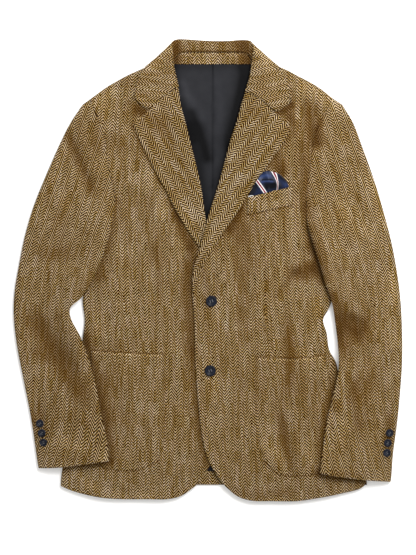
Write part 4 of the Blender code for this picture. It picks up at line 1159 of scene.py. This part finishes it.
def summed(at, table):
    """The running sum, over a coordinate, of a slope that a table gives."""
    where = np.linspace(-0.45, 0.45, 901)
    slope = np.interp(where, *np.array(table).T)
    total = np.concatenate([[0], np.cumsum(0.5 * (slope[1:] + slope[:-1]) * np.diff(where))])
    return np.interp(at, where, total)


def front_grain(x, y, side, whole=False):
    """The flat place of each face on a front. The right one's stripes jump at its dart. A pocket
    lies over the dart and is cut whole."""
    lean, fall = LEAN[side]
    across, up = x + summed(y, lean), y + summed(x, fall)
    if side == "left" or whole:
        return across, up
    dart = beside(x, y, smooth_line(DART[side]))[0].ravel()
    parted = (0.16 * np.clip(0.040 - y, 0, 0.180) ** 2 * ease(y, -0.190, -0.146)).ravel()

    def grain(faces):
        over = dart[faces].mean(axis=1, keepdims=True) > 0
        return np.stack([across.ravel()[faces] - parted[faces] * over, up.ravel()[faces]], -1)

    return grain


def seam_roll(x, y, side):
    """How far the cloth rolls into the armhole seam."""
    return 0.9 * MM * bump(distance(x, y, SEAMS[side]["armhole"]), 4.5 * MM)


def make_front(side):
    sign = OUTWARD[side]
    roll = moved(smooth_line(ROLL_LINE[side]), LAPEL_TURN * sign)
    edge = smooth_line(FRONT_EDGE[side])
    roll[-6:] += (edge[0] - roll[-1]) * np.linspace(1 / 6, 1, 6)[:, None]
    inner = np.vstack([roll, edge[1:]])
    outer = joined(ARMHOLE[side], UNDERARM[side] + SIDE[side][1:])
    top = smooth_line(SHOULDER[side][:-1] + [tuple(inner[0] / MM)])
    bottom = smooth_line(HEM[side])
    x, y = patch(top, bottom, outer, inner, 2.9 * MM, (round_turn(SIDE_TURN), HEMMED),
                 (round_turn(SHOULDER_TURN), HEMMED))
    hem = np.minimum(distance(x, y, edge), distance(x, y, bottom))
    dart, reached = beside(x, y, smooth_line(DART[side]))
    dart_share = reached / length_of(smooth_line(DART[side]))
    dart_line = bump(dart, 1.6 * MM) * ease(dart_share, 0, 0.1) * (1 - ease(dart_share, 0.9, 1))
    sunk = sunk_edge(hem, TWEED) + 0.5 * MM * dart_line
    z = front_height(side)(x, y) - seam_roll(x, y, side)
    # Painted shade beside the edges that lie over this front, in its creases, in the dart's groove, along the armhole
    # seam and just outside the pocket edges.
    shade, low = under_edges(x, y, side)
    z = z - low
    shade += hollow(crease_depth(x, y, BODY_CREASES)) + 0.25 * dart_line
    shade += ARMHOLE_PAINTED_SHADE[side] * bump(distance(x, y, SEAMS[side]["armhole"]), 3.0 * MM)
    for name, near, dark in POCKET_EDGE_PAINTED_SHADE:
        shade += dark * bump(distance(x, y, smooth_line(POCKET[side][name])), near * MM)
    make_cloth(f"front_{side}_cloth", f"front_{side}", (x, y, z), TWEED, "tweed",
               front_grain(x, y, side), sunk=sunk, crevice=shade, lined=True)


for each in OUTWARD:
    make_front(each)

# %% [markdown]
# ## Sleeves
#
# A tailored sleeve is two pieces, a wide one on top and a narrow one below, seamed along both
# edges. The arm bends at the elbow, and the stripes bend less than the outline does, so the weave
# is measured from a line of its own.

# %% Sleeves
def beside_seam(line, seam, sign, at_top):
    """A sleeve's inner line moved clear of the armhole seam, and further where that seam ends."""
    y = line[:, 1]
    corner = 1 - ease(y, seam[-1][1] * MM, seam[-1][1] * MM + 15 * MM)
    if at_top:
        corner = np.maximum(corner, 0.3 * ease(y, seam[0][1] * MM - 15 * MM, seam[0][1] * MM))
    gap = 0.25 * MM + 0.6 * MM * corner
    return line + np.stack([gap * sign, 0 * gap], axis=-1)


GRAIN_LINE = {  # a line that the stripes of each sleeve run beside
    "left": [
        (-205, 330), (-277, 60), (-290, 0), (-297.5, -60), (-301, -130), (-305, -200), (-311, -260),
        (-323, -320), (-336, -380),
    ],
    "right": [
        (230, 330), (302, 60), (315, 0), (322.5, -60), (325, -130), (329.5, -230), (343.5, -320),
        (357.5, -380),
    ],
}


def make_sleeve(side, layer):
    on_top = layer == "top"
    sign = OUTWARD[side]
    outer = smooth_line(SLEEVE_OUTER[side])
    shoulder = smooth_line([SHOULDER[side][0], SLEEVE_OUTER[side][0]])
    cuff = smooth_line(CUFF[side])
    if on_top:
        seam = joined(ARMHOLE[side], SLEEVE_INNER[side])
        seam = beside_seam(seam, ARMHOLE[side], sign, True)
        step, wall, turn = 2.6 * MM, SLEEVE_CLOTH, SLEEVE_TURN
    else:
        seam = joined(BACK_ARMHOLE[side][:5], [BACK_ARMHOLE[side][4]] + SLEEVE_INNER[side][1:])
        seam = beside_seam(seam, BACK_ARMHOLE[side][:5], sign, False)
        step, wall, turn = 5 * MM, BACK_CLOTH, UNDER_TURN
    shoulder[0], cuff[-1] = seam[0], seam[-1]
    end_turn = round_turn(SHOULDER_TURN if on_top else UNDER_TURN)
    x, y = patch(shoulder, cuff[::-1], seam, outer, step, (round_turn(turn), round_turn(turn)),
                 (end_turn, HEMMED))
    height = sleeve_top_height if on_top else sleeve_under_height
    z = height(x, y, side)
    shade = None
    if on_top:
        z = z - seam_roll(x, y, side)
        seam_away = distance(x, y, SEAMS[side]["armhole"])
        # Painted shade along the armhole seam and in the creases.
        shade = ARMHOLE_PAINTED_SHADE[side] * bump(seam_away, 3.0 * MM)
        shade += hollow(crease_depth(x, y, SLEEVE_CREASES)) * ease(seam_away, 0, 30 * MM)
        shade += hollow(crease_depth(x, y, BODY_CREASES)) * (1 - ease(seam_away, 0, 40 * MM))
    across, down = beside(x, y, smooth_line(GRAIN_LINE[side], 24))
    sunk = sunk_edge(distance(x, y, cuff), wall)
    sunk = np.maximum(sunk, 0.8 * wall * bump(np.hypot(x - seam[0, 0], y - seam[0, 1]), 3 * MM))
    make_cloth(f"sleeve_{layer}_{side}_cloth", f"sleeve_{layer}_{side}", (x, y, z), wall, "tweed",
               (across, -down - 0.09 * sign * across), sunk=sunk, crevice=shade, up=on_top,
               lined=True)


for each in OUTWARD:
    make_sleeve(each, "top")
    make_sleeve(each, "under")

# %% [markdown]
# ## Lapels
#
# A lapel is the front's facing, turned back along the roll line. The roll is soft and round, not
# pressed flat, and the outer edge is thin and clean. Because it is turned over, its stripes lean
# with its outer edge.

# %% Lapels
LAPEL_LEAN = {"left": 30, "right": -34}
LAPEL_CREASES = [
    dict(path=[(-84, 300), (-74, 250), (-58, 200), (-44, 150)], width=15, depth=1.5, lip=0.2),
    dict(path=[(86, 262), (72, 220), (52, 170)], width=14, depth=0.7, lip=0.3),
]


def lapel_lip(away):
    """How far a lapel or the collar has turned down at this distance from its fold."""
    return LAPEL_LIP * (1 - quarter(away / LAPEL_TURN))


def make_lapel(side):
    roll = smooth_line(LAPEL_ROLL[side])
    gorge = np.vstack([smooth_line(GORGE[side]), np.array([LAPEL_OUTER[side][0]]) * MM])
    roll[0] = gorge[0]
    outer = smooth_line(LAPEL_OUTER[side])
    outer[0] = gorge[-1]
    end = np.linspace(roll[-1], outer[-1], 4)
    x, y = patch(gorge, end, roll, outer, 2.2 * MM, (round_turn(LAPEL_TURN), HEMMED),
                 (HEMMED[:5], ()))
    rolled = lapel_lip(distance(x, y, roll)) * ease(y, 0.030, 0.150)
    tucked = 1.8 * MM * (1 - ease(y, -0.045, 0.030))
    pressed = 1.0 * MM * ease(y, 0.110, 0.200)
    z = front_height(side)(x, y) + LAPEL_GAP + LAPEL_CLOTH - pressed - rolled - tucked
    sunk = sunk_edge(distance(x, y, outer), LAPEL_CLOTH)
    sunk = np.maximum(sunk, 0.35 * MM * bump(distance(x, y, gorge), 1.2 * MM))
    # Painted shade in the lapel's creases.
    shade = hollow(crease_depth(x, y, LAPEL_CREASES))
    z = z - crease_depth(x, y, LAPEL_CREASES)
    across, up = turned_grain(x, y, LAPEL_LEAN[side])
    make_cloth(f"lapel_{side}_cloth", f"lapel_{side}", (x, y, z), LAPEL_CLOTH, "tweed",
               (0.95 * across, 0.95 * up), sunk=sunk, crevice=shade)


for each in OUTWARD:
    make_lapel(each)

# %% [markdown]
# ## Collar
#
# The collar is one strip round the neck: a stand that rises from the seam, a roll, and a fall
# that lies on the shoulders in front and behind the neck at the back. Each row below is one
# station of it. They are worked out coarsely, then drawn finer with a smooth spline, and the
# fall is laid on the fronts again so that it follows their creases.

# %% Collar stations
# Each station has its turn round the shoulder (90 lies on the front, -90 behind the back), the
# height of its seam in millimetres, and for either side the seam and then the path of its fall,
# from the roll to the outer edge. The fall of the first station follows the gorge to the notch.
NOTCH = 4  # which point of the first station's path is the notch's inner corner
COLLAR = [
    (90, 11.5, [(-52.5, 323), (-51, 323), (-69, 313), (-84, 300.5), (-104, 282.5), (-131, 304)],
     [(67, 314.5), (65, 315), (78, 310), (96, 299), (117, 278.5), (145.5, 297)]),
    (90, 11.5, [(-56.5, 341), (-55, 341), (-126, 324)], [(73.5, 338), (72, 338), (139.5, 324)]),
    (90, 11.0, [(-59, 359), (-59.3, 361), (-121, 341)], [(76, 358), (76, 360), (131.5, 342)]),
    (90, 9.5, [(-57, 371), (-61, 383), (-114, 352.5)], [(76, 371), (79, 383), (127.5, 351)]),
    (42, 8.2, [(-54, 379), (-63, 392.5), (-110.5, 357)], [(72, 379), (79.5, 392.5), (125.5, 356)]),
    (0, 7.0, [(-49, 383.5), (-64, 399), (-86, 379.5), (-108.5, 360)],
     [(66, 383.5), (78, 399), (96, 384), (124.5, 359.5)]),
    (-42, 6.6, [(-43, 385), (-61, 404.3), (-106, 358.5)], [(58, 385), (75, 404.3), (122.5, 358)]),
    (-90, 6.4, [(-37, 385.5), (-54, 407.6), (-102, 353)], [(51, 385.5), (67, 406.4), (118, 352.5)]),
    (-90, 6.4, [(-28, 385.5), (-42, 408), (-90, 343)], [(41, 385.5), (54, 406.4), (104, 343)]),
    (-90, 6.4, [(-16, 385.5), (-23, 406.6), (-57, 336.5)], [(27, 385.5), (35, 405), (70, 336.5)]),
    (-90, 6.4, [(6, 385.5), (6, 404.9), (6, 335)], None),
]
COLLAR_TURN = {"left": -5, "right": 10}
TO_NOTCH, PAST_NOTCH = (0.046, 0.138, 0.383, 0.689, 1.0), (0.5, 1.0)
STAND_POINTS = 4


def collar_section(turn, seam_z, points, notch):
    """One station: its points from the seam over the roll to the edge, as x, y, z and the share
    of the fronts' height that z holds."""
    seam, *path = np.array(points, float) * MM
    roll = path[0]
    lift = LAPEL_GAP + COLLAR_CLOTH - (0.8 * MM if notch else 0)
    side = math.sin(math.radians(turn))
    front = 0.5 * (1 + side)
    seam_z = seam_z * MM
    stand_z = max(6.4 * MM, seam_z)
    top_z = float(body_height(roll[0], roll[1] - 12 * MM * front)) + lift - 3 * MM
    roll_z = front * top_z + (1 - front) * 0.5 * stand_z
    near_z = 0.3 * seam_z + 0.7 * roll_z
    middle = 0.5 * (seam + roll)
    near = seam + 0.85 * (roll - seam)
    points = [
        (*seam, seam_z, 0),
        (*middle, front * 0.5 * (seam_z + roll_z) + (1 - front) * stand_z, 0),
        (*near, front * near_z + (1 - front) * (stand_z - 0.7 * MM), 0),
        (*roll, roll_z, 0),
    ]
    whole = length_of(np.array(path))
    corner = length_of(np.array(path[: NOTCH + 1])) / whole if notch else 0.65
    shares = [corner * k for k in TO_NOTCH] + [corner + (1 - corner) * k for k in PAST_NOTCH]
    for share, (x, y) in zip(shares, along(np.array(path))(np.array(shares))):
        if turn >= 90:
            z = float(body_height(x, y)) + lift - 0.6 * lapel_lip(share * whole)
        elif turn <= -90:
            z = roll_z * (1 - quarter(share * whole / (4 * MM)))
        else:
            z = 0.5 * (CHEST_HEIGHT + lift) * (1 + side)
        points.append((x, y, z, front if turn >= 90 else 0))
    return points


def finer(grid, times):
    """A grid of points with more rows, on smooth lines through the given ones."""
    padded = np.concatenate([2 * grid[:1] - grid[1:2], grid, 2 * grid[-1:] - grid[-2:-1]])
    rows = []
    for k in range(len(grid) - 1):
        a, b, c, d = padded[k : k + 4]
        for t in np.arange(times) / times:
            rows.append(0.5 * (2 * b + (c - a) * t + (2 * a - 5 * b + 4 * c - d) * t**2
                               + (3 * b - a - 3 * c + d) * t**3))
    return np.array(rows + [grid[-1]])


# %% Collar
ROWS_FINER, COLUMNS_FINER = 7, 5


def make_collar():
    left = [collar_section(turn, z, points, k == 0) for k, (turn, z, points, _) in enumerate(COLLAR)]
    right = [collar_section(turn, z, points, k == 0) for k, (turn, z, _, points) in
             enumerate(COLLAR[:-1])][::-1]
    coarse = np.array(left + right)
    on_front = coarse[..., 3]
    coarse[..., 2] -= on_front * body_height(coarse[..., 0], coarse[..., 1])
    fine = finer(coarse, ROWS_FINER)
    fine = finer(fine.transpose(1, 0, 2), COLUMNS_FINER).transpose(1, 0, 2)
    x, y = fine[..., 0], fine[..., 1]
    share = np.clip(fine[..., 3], 0, 1)
    z = np.maximum(fine[..., 2] + share * body_height(x, y), 0.0)
    fold = COLUMNS_FINER * (STAND_POINTS - 1)
    falls = np.arange(x.shape[1]) >= fold

    def grain(faces):
        """Upright stripes on the stand, and nearly level ones on the fall."""
        lean = COLLAR_TURN["left"] + ease(x, -0.060, 0.075) * (COLLAR_TURN["right"] - COLLAR_TURN["left"])
        lean, far_x, far_y = np.radians(lean), x - CENTRE, y - 0.370
        along_fall = np.cos(lean) * far_x + np.sin(lean) * far_y
        down_fall = np.cos(lean) * far_y - np.sin(lean) * far_x
        upright = np.stack([x, y], axis=-1).reshape(-1, 2)[faces]
        level = np.stack([down_fall, along_fall], axis=-1).reshape(-1, 2)[faces]
        on_fall = ((faces % x.shape[1]).min(axis=1) >= fold)[:, None, None]
        return np.where(on_fall, level, upright)

    ends = [smooth_line(GORGE[side] + [points[-1]]) for side, points in
            (("left", COLLAR[0][2]), ("right", COLLAR[0][3]))]
    sunk = sunk_edge(distance(x, y, fine[:, -1, :2]), COLLAR_CLOTH)
    sewn = np.min([distance(x, y, line) for line in ends], axis=0)
    sunk = np.maximum(sunk, 0.35 * MM * bump(sewn, 1.2 * MM)) * falls * share
    # Painted shade in the neck's corners, on the stand only.
    shade = neck_shade(x, y) * (1 - falls) * ease(y, 0.355, 0.375)
    make_cloth("collar_cloth", "collar", (x, y, z), COLLAR_CLOTH, "tweed", grain,
               sunk=sunk, crevice=shade, facing_rows=2 * ROWS_FINER)


make_collar()

# %% [markdown]
# ## Pockets, welt and folded silk
#
# A patch pocket is a lined piece sewn on near its edges, so it sits a wall higher than the front
# and its edges are round. The chest pocket is only an opening with a welt, a narrow folded strip.
# From it stands a square of silk, puffed up, with two folds running down into the pocket.

# %% Pockets
PATCH_LIFT = 1.7 * MM
POCKET_SHIFT = {"left": 2.5 * MM, "right": -3.0 * MM}


def make_pocket(side):
    lines = [smooth_line(POCKET[side][k]) for k in ("top", "bottom", "outer", "inner")]
    x, y = patch(*lines, 2.4 * MM, (HEMMED, HEMMED), (HEMMED, HEMMED))
    edges = np.min([distance(x, y, line) for line in lines], axis=0)
    z = front_height(side)(x, y) + PATCH_LIFT
    wall = 1.4 * MM
    # Painted shade beside the edges over the pocket and in its creases, and a painted highlight along its top edge.
    shade = under_edges(x, y, side)[0] + hollow(crease_depth(x, y, BODY_CREASES))
    shade -= 0.45 * bump(distance(x, y, lines[0]) - 2.0 * MM, 2.0 * MM)
    across, up = front_grain(x, y, side, whole=True)
    make_cloth(f"pocket_{side}_cloth", f"pocket_{side}", (x, y, z), wall, "tweed",
               (across + POCKET_SHIFT[side], up + 1.5 * MM), sunk=sunk_edge(edges, wall, 0.6),
               crevice=shade)


def make_welt():
    lines = [smooth_line(WELT[k]) for k in ("top", "bottom", "left", "right")]
    x, y = patch(*lines, 2 * MM, (HEMMED, HEMMED), (HEMMED, HEMMED))
    edges = np.min([distance(x, y, line) for line in lines], axis=0)
    z = front_height("right")(x, y) + 2.1 * MM
    # A painted highlight along the welt's top edge.
    pale = -0.25 * bump(distance(x, y, lines[0]) - 2.0 * MM, 2.5 * MM)
    make_cloth("chest_welt_cloth", "chest_welt", (x, y, z), SLEEVE_CLOTH, "tweed",
               (x + 2 * MM, y + 1 * MM), sunk=sunk_edge(edges, SLEEVE_CLOTH, 0.7), crevice=pale)


for each in OUTWARD:
    make_pocket(each)
make_welt()

# %% Folded silk
SQUARE = dict(
    top=[(93, 169.5), (96, 174), (101, 175.8), (109, 175.8), (118, 173.4), (127, 169), (137, 158.5)],
    left=[(93, 169.5), (82, 154.5), (75.2, 141.5), (70, 130.5)],
    right=[(137, 158.5), (140.8, 152), (141.8, 148)],
    bottom=[(70, 130.5), (141.8, 148)],
)
STRIPES = [
    [(80, 166), (87, 156.6), (100.6, 137.4), (104, 131)],
    [(111, 180), (114.8, 174), (119.4, 164), (121.8, 153.6), (121.2, 143), (120, 134)],
    [(60, 129.5), (70, 129.2), (78, 130.5), (81, 128)],
]
# Painted shade in the silk's hollows, and painted highlights on its ridges where the amount is below nought.
SILK_SHADES = [  # dark hollows, and ridges below nought
    ([(103, 149), (109, 149.5), (116, 151)], 7.0, 1.1), ([(94, 160.6), (104, 161), (114, 161)], 1.5, 0.7),
    ([(72, 134), (83, 152)], 7.5, 0.95), ([(126, 167), (134, 160)], 4, 0.8), ([(114, 174), (117, 166)], 2, 0.6),
    ([(126, 152), (127, 146)], 4, 0.5), ([(90, 164), (100, 168), (108, 167)], 3.0, -0.55),
    ([(94, 156.5), (104, 157.5), (113, 157)], 1.8, -0.9), ([(131, 157), (137, 151)], 3, -0.35),
]
SILK_FOLDS = [  # path, half width and height in millimetres
    ([(100, 176), (106, 160), (108, 140)], 5.0, 2.6),
    ([(98, 158), (112, 157.5), (122, 152), (127, 140)], 3.2, 2.4),
    ([(112, 146), (117, 140), (118, 134)], 5.5, -2.2),
    ([(128, 170), (134, 160), (136, 146)], 5.0, 1.8),
    ([(90, 158), (92, 146), (96, 136)], 5.0, 1.6),
]


def make_silk():
    lines = [smooth_line(SQUARE[k]) for k in ("top", "bottom", "left", "right")]
    x, y = patch(*lines, 0.6 * MM)
    z = front_height("right")(x, y) + 2.8 * MM
    for path, width, high in SILK_FOLDS:
        z = z + high * MM * bump(distance(x, y, smooth_line(path)), width * MM)
    z = z - 1.2 * MM * bump(distance(x, y, lines[1]), 2.5 * MM)
    stripes = [distance(x, y, smooth_line(path)) for path in STRIPES]
    stripes[1] *= 1 + 1.5 * ease(-y, -0.170, -0.150)
    stripes[0] *= 1.12
    across = np.min(stripes, axis=0)
    edge = np.min([distance(x, y, line) for line in (lines[0], lines[3])], axis=0)
    sunk = 1.6 * MM * (1 - quarter(edge / (3 * MM)))
    # Painted shade in the silk's hollows and painted highlights on its ridges.
    shade = sum(dark * bump(distance(x, y, smooth_line(path)), width * MM)
                for path, width, dark in SILK_SHADES)
    make_cloth("pocket_square_silk", "pocket_square", (x, y, z), SLEEVE_CLOTH, "satin",
               (across, y), sunk=sunk, crevice=shade)


make_silk()

# %% [markdown]
# ## Buttons
#
# Each button is turned on a lathe: half of its outline, spun round. The raised rim, the dish and
# the four holes are what make it read as a button and not a disc. The thread crosses through the
# holes in two bars, and the button sits a little off the cloth.

# %% Buttons
FRONT_BUTTON = dict(radius=9.8 * MM, height=4.0 * MM, gap=0.6 * MM)
CUFF_BUTTON = dict(radius=6.9 * MM, height=3.2 * MM, gap=1.0 * MM)
FRONT_BUTTONS = [(6.2, -51.2), (4.2, -172.8)]
CUFF_BUTTONS = {
    "left": [(-294, -265.5), (-290.5, -282), (-287.5, -298)],
    "right": [(318, -282), (315, -299.5), (313.5, -317)],
}
BUTTON_OUTLINE = [  # radius and height, as shares of the button's own
    (0.0, 0.50), (0.30, 0.50), (0.46, 0.54), (0.56, 0.64), (0.63, 0.80), (0.70, 0.94), (0.78, 1.0),
    (0.87, 0.98), (0.94, 0.88), (0.985, 0.72), (1.0, 0.55), (0.98, 0.38), (0.90, 0.20),
    (0.76, 0.07), (0.60, 0.0), (0.0, 0.0),
]
HOLE_PLACE, HOLE_SIZE = 0.21, 0.085


def turned_disc(name, outline, radius, height, sides=48):
    """A closed shape turned from half an outline."""
    shape = bmesh.new()
    rings = []
    for r, h in outline:
        if r == 0:
            rings.append([shape.verts.new((0, 0, h * height))] * sides)
            continue
        angles = np.arange(sides) * 2 * math.pi / sides
        rings.append([
            shape.verts.new((r * radius * math.cos(a), r * radius * math.sin(a), h * height))
            for a in angles
        ])
    for upper, lower in zip(rings[:-1], rings[1:]):
        for k in range(sides):
            corners = [upper[k], lower[k], lower[(k + 1) % sides], upper[(k + 1) % sides]]
            shape.faces.new(list(dict.fromkeys(corners)))
    mesh = bpy.data.meshes.new(name)
    shape.to_mesh(mesh)
    shape.free()
    mesh.shade_smooth()
    return bpy.data.objects.new(name, mesh)


def drilled(button, radius, height):
    """The button's mesh with four holes through it."""
    drills = []
    for sx, sy in ((1, 1), (-1, 1), (-1, -1), (1, -1)):
        drill = turned_disc("Drill", [(0, 2), (1, 2), (1, -1), (0, -1)], HOLE_SIZE * radius, height, 12)
        drill.location = (sx * HOLE_PLACE * radius, sy * HOLE_PLACE * radius, 0)
        drills.append(drill)
    for thing in [button, *drills]:
        bpy.context.scene.collection.objects.link(thing)
    for drill in drills:
        cut = button.modifiers.new("Hole", "BOOLEAN")
        cut.operation, cut.object = "DIFFERENCE", drill
    bpy.context.view_layer.update()
    whole = button.evaluated_get(bpy.context.evaluated_depsgraph_get())
    mesh = bpy.data.meshes.new_from_object(whole)
    for thing in [button, *drills]:
        bpy.data.objects.remove(thing, do_unlink=True)
    return mesh


def seat_of(point, size, height_at):
    """Height and slopes of the cloth below a button."""
    x, y, reach = point[0] * MM, point[1] * MM, size["radius"]
    ring = np.linspace(0, 2 * math.pi, 13)[:-1]
    r = np.array([0, 0.5 * reach, reach])[:, None]
    dx, dy = r * np.cos(ring), r * np.sin(ring)
    near = height_at(np.array([x + reach, x - reach, x, x]), np.array([y, y, y + reach, y - reach]))
    slope_x, slope_y = (near[0] - near[1]) / (2 * reach), (near[2] - near[3]) / (2 * reach)
    seat = (height_at(x + dx, y + dy) - dx * slope_x - dy * slope_y).max()
    return (x, y, seat + size["gap"]), (math.atan(slope_y), -math.atan(slope_x), 0)


def thread_bars(name, size, twist):
    """Two bars of thread over the holes, as one curve."""
    radius, height = size["radius"], size["height"]
    curve = bpy.data.curves.new(name, "CURVE")
    curve.dimensions, curve.bevel_depth, curve.bevel_resolution = "3D", 0.030 * radius, 2
    reach, top = HOLE_PLACE * radius, 0.56 * height
    for side in (-1, 1):
        for strand in (-0.035, 0.035):
            ends = [(-reach, 0.1 * height), (-reach, top), (-0.5 * reach, top + 0.1 * height),
                    (0.5 * reach, top + 0.1 * height), (reach, top), (reach, 0.1 * height)]
            spline = curve.splines.new("POLY")
            spline.points.add(len(ends) - 1)
            for point, (along_bar, z) in zip(spline.points, ends):
                point.co = (side * reach + strand * radius, along_bar, z, 1)
    curve.materials.append(FINISH["button_thread"])
    thread = bpy.data.objects.new(name, curve)
    thread.rotation_euler = (0, 0, math.radians(twist))
    bpy.context.scene.collection.objects.link(thread)
    return thread


BUTTON_MESH = {}


def make_button(node, point, size, height_at, twist):
    key = size["radius"]
    if key not in BUTTON_MESH:
        disc = turned_disc("Disc", BUTTON_OUTLINE, size["radius"], size["height"])
        BUTTON_MESH[key] = drilled(disc, size["radius"], size["height"])
        BUTTON_MESH[key].materials.clear()
        BUTTON_MESH[key].materials.append(FINISH["button"])
    place, lean = seat_of(point, size, height_at)
    button = bpy.data.objects.new(f"{node}_turned", BUTTON_MESH[key])
    bpy.context.scene.collection.objects.link(button)
    button.location, button.rotation_euler = place, (lean[0], lean[1], math.radians(twist))
    thread = thread_bars(f"{node}_thread", size, twist)
    thread.location = place
    thread.rotation_euler = (lean[0], lean[1], math.radians(twist))
    for piece in (button, thread):
        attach(piece, "root")
    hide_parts(node)


def make_buttons():
    for number, point in enumerate(FRONT_BUTTONS, 1):
        make_button(f"button_front_{number}", point, FRONT_BUTTON, front_height("right"), 20)
    for side, points in CUFF_BUTTONS.items():
        for number, point in enumerate(points, 1):
            make_button(f"button_cuff_{side}_{number}", point, CUFF_BUTTON,
                        lambda x, y, side=side: sleeve_top_height(x, y, side), 35 * number)


make_buttons()
print("buttons:", len(FRONT_BUTTONS) + sum(map(len, CUFF_BUTTONS.values())))

# %% [markdown]
# ## The cut
#
# A cutter's sizes are those of the flat cloth, before the jacket is made up. Each row gives the
# width and length of the rectangle that a piece is cut from and the area of the piece itself, in
# metres, and then how it is held and what it lies on. Only the cloth that shows is counted, so
# seam allowances and turned-in edges come on top.

# %% Sheets
CUT = {  # piece: width, length, area, held, lies on
    "back_left_cloth": (0.266, 0.760, 0.159, "laid", []),
    "back_right_cloth": (0.275, 0.760, 0.154, "laid", []),
    "lining_back_cloth": (0.510, 0.715, 0.277, "laid", ["back_left_cloth", "back_right_cloth"]),
    "neck_facing_cloth": (0.150, 0.022, 0.0028, "laid", ["back_left_cloth", "back_right_cloth"]),
    "hem_facing_cloth": (0.516, 0.026, 0.0125, "laid", ["back_left_cloth", "back_right_cloth"]),
    "front_left_cloth": (0.305, 0.782, 0.159, "laid", ["lining_back_cloth"]),
    "front_right_cloth": (0.318, 0.786, 0.157, "laid", ["lining_back_cloth", "front_left_cloth"]),
    "sleeve_under_left_cloth": (0.165, 0.690, 0.075, "laid", ["front_left_cloth"]),
    "sleeve_under_right_cloth": (0.165, 0.715, 0.076, "laid", ["front_right_cloth"]),
    "sleeve_top_left_cloth": (0.175, 0.690, 0.077, "laid", ["sleeve_under_left_cloth"]),
    "sleeve_top_right_cloth": (0.175, 0.715, 0.079, "laid", ["sleeve_under_right_cloth"]),
    "lapel_left_cloth": (0.090, 0.330, 0.018, "folded", ["front_left_cloth"]),
    "lapel_right_cloth": (0.095, 0.375, 0.018, "folded", ["front_right_cloth"]),
    "collar_cloth": (0.095, 0.480, 0.029, "folded", ["front_left_cloth", "front_right_cloth"]),
    "pocket_left_cloth": (0.132, 0.212, 0.025, "laid", ["front_left_cloth"]),
    "pocket_right_cloth": (0.142, 0.214, 0.026, "laid", ["front_right_cloth"]),
    "chest_welt_cloth": (0.082, 0.034, 0.0026, "laid", ["front_right_cloth"]),
    "pocket_square_silk": (0.076, 0.047, 0.0022, "folded", ["front_right_cloth"]),
}
for name, (width, length, area, held, below) in CUT.items():
    print(f"{name}: cut {area:.4f} m2, made up {SURFACE[name]:.4f} m2")

# %% [markdown]
# ## The table
#
# The jacket lies on a plain pale table.

# %% Table
def make_table():
    material, tree, shader = new_finish(
        "Pale_table", Roughness=0.9, Specular_IOR_Level=0.1, Emission_Color=(1, 1, 1, 1),
        Emission_Strength=0.15)
    where = Wire.node(tree, "ShaderNodeTexCoord", out="Object")
    tone = Wire.node(tree, "ShaderNodeTexNoise", inputs={"Vector": where, "Scale": 3.0})
    finish_with(tree, shader, Base_Color=tone.mixed((0.90, 0.90, 0.895, 1), (0.93, 0.93, 0.925, 1)))
    mesh = bpy.data.meshes.new("Table")
    reach, level = 4.0, -0.2 * MM
    mesh.from_pydata([(-reach, -reach, level), (reach, -reach, level), (reach, reach, level),
                      (-reach, reach, level)], [], [(0, 1, 2, 3)])
    mesh.materials.append(material)
    table = bpy.data.objects.new("Table", mesh)
    bpy.context.scene.collection.objects.link(table)


make_table()
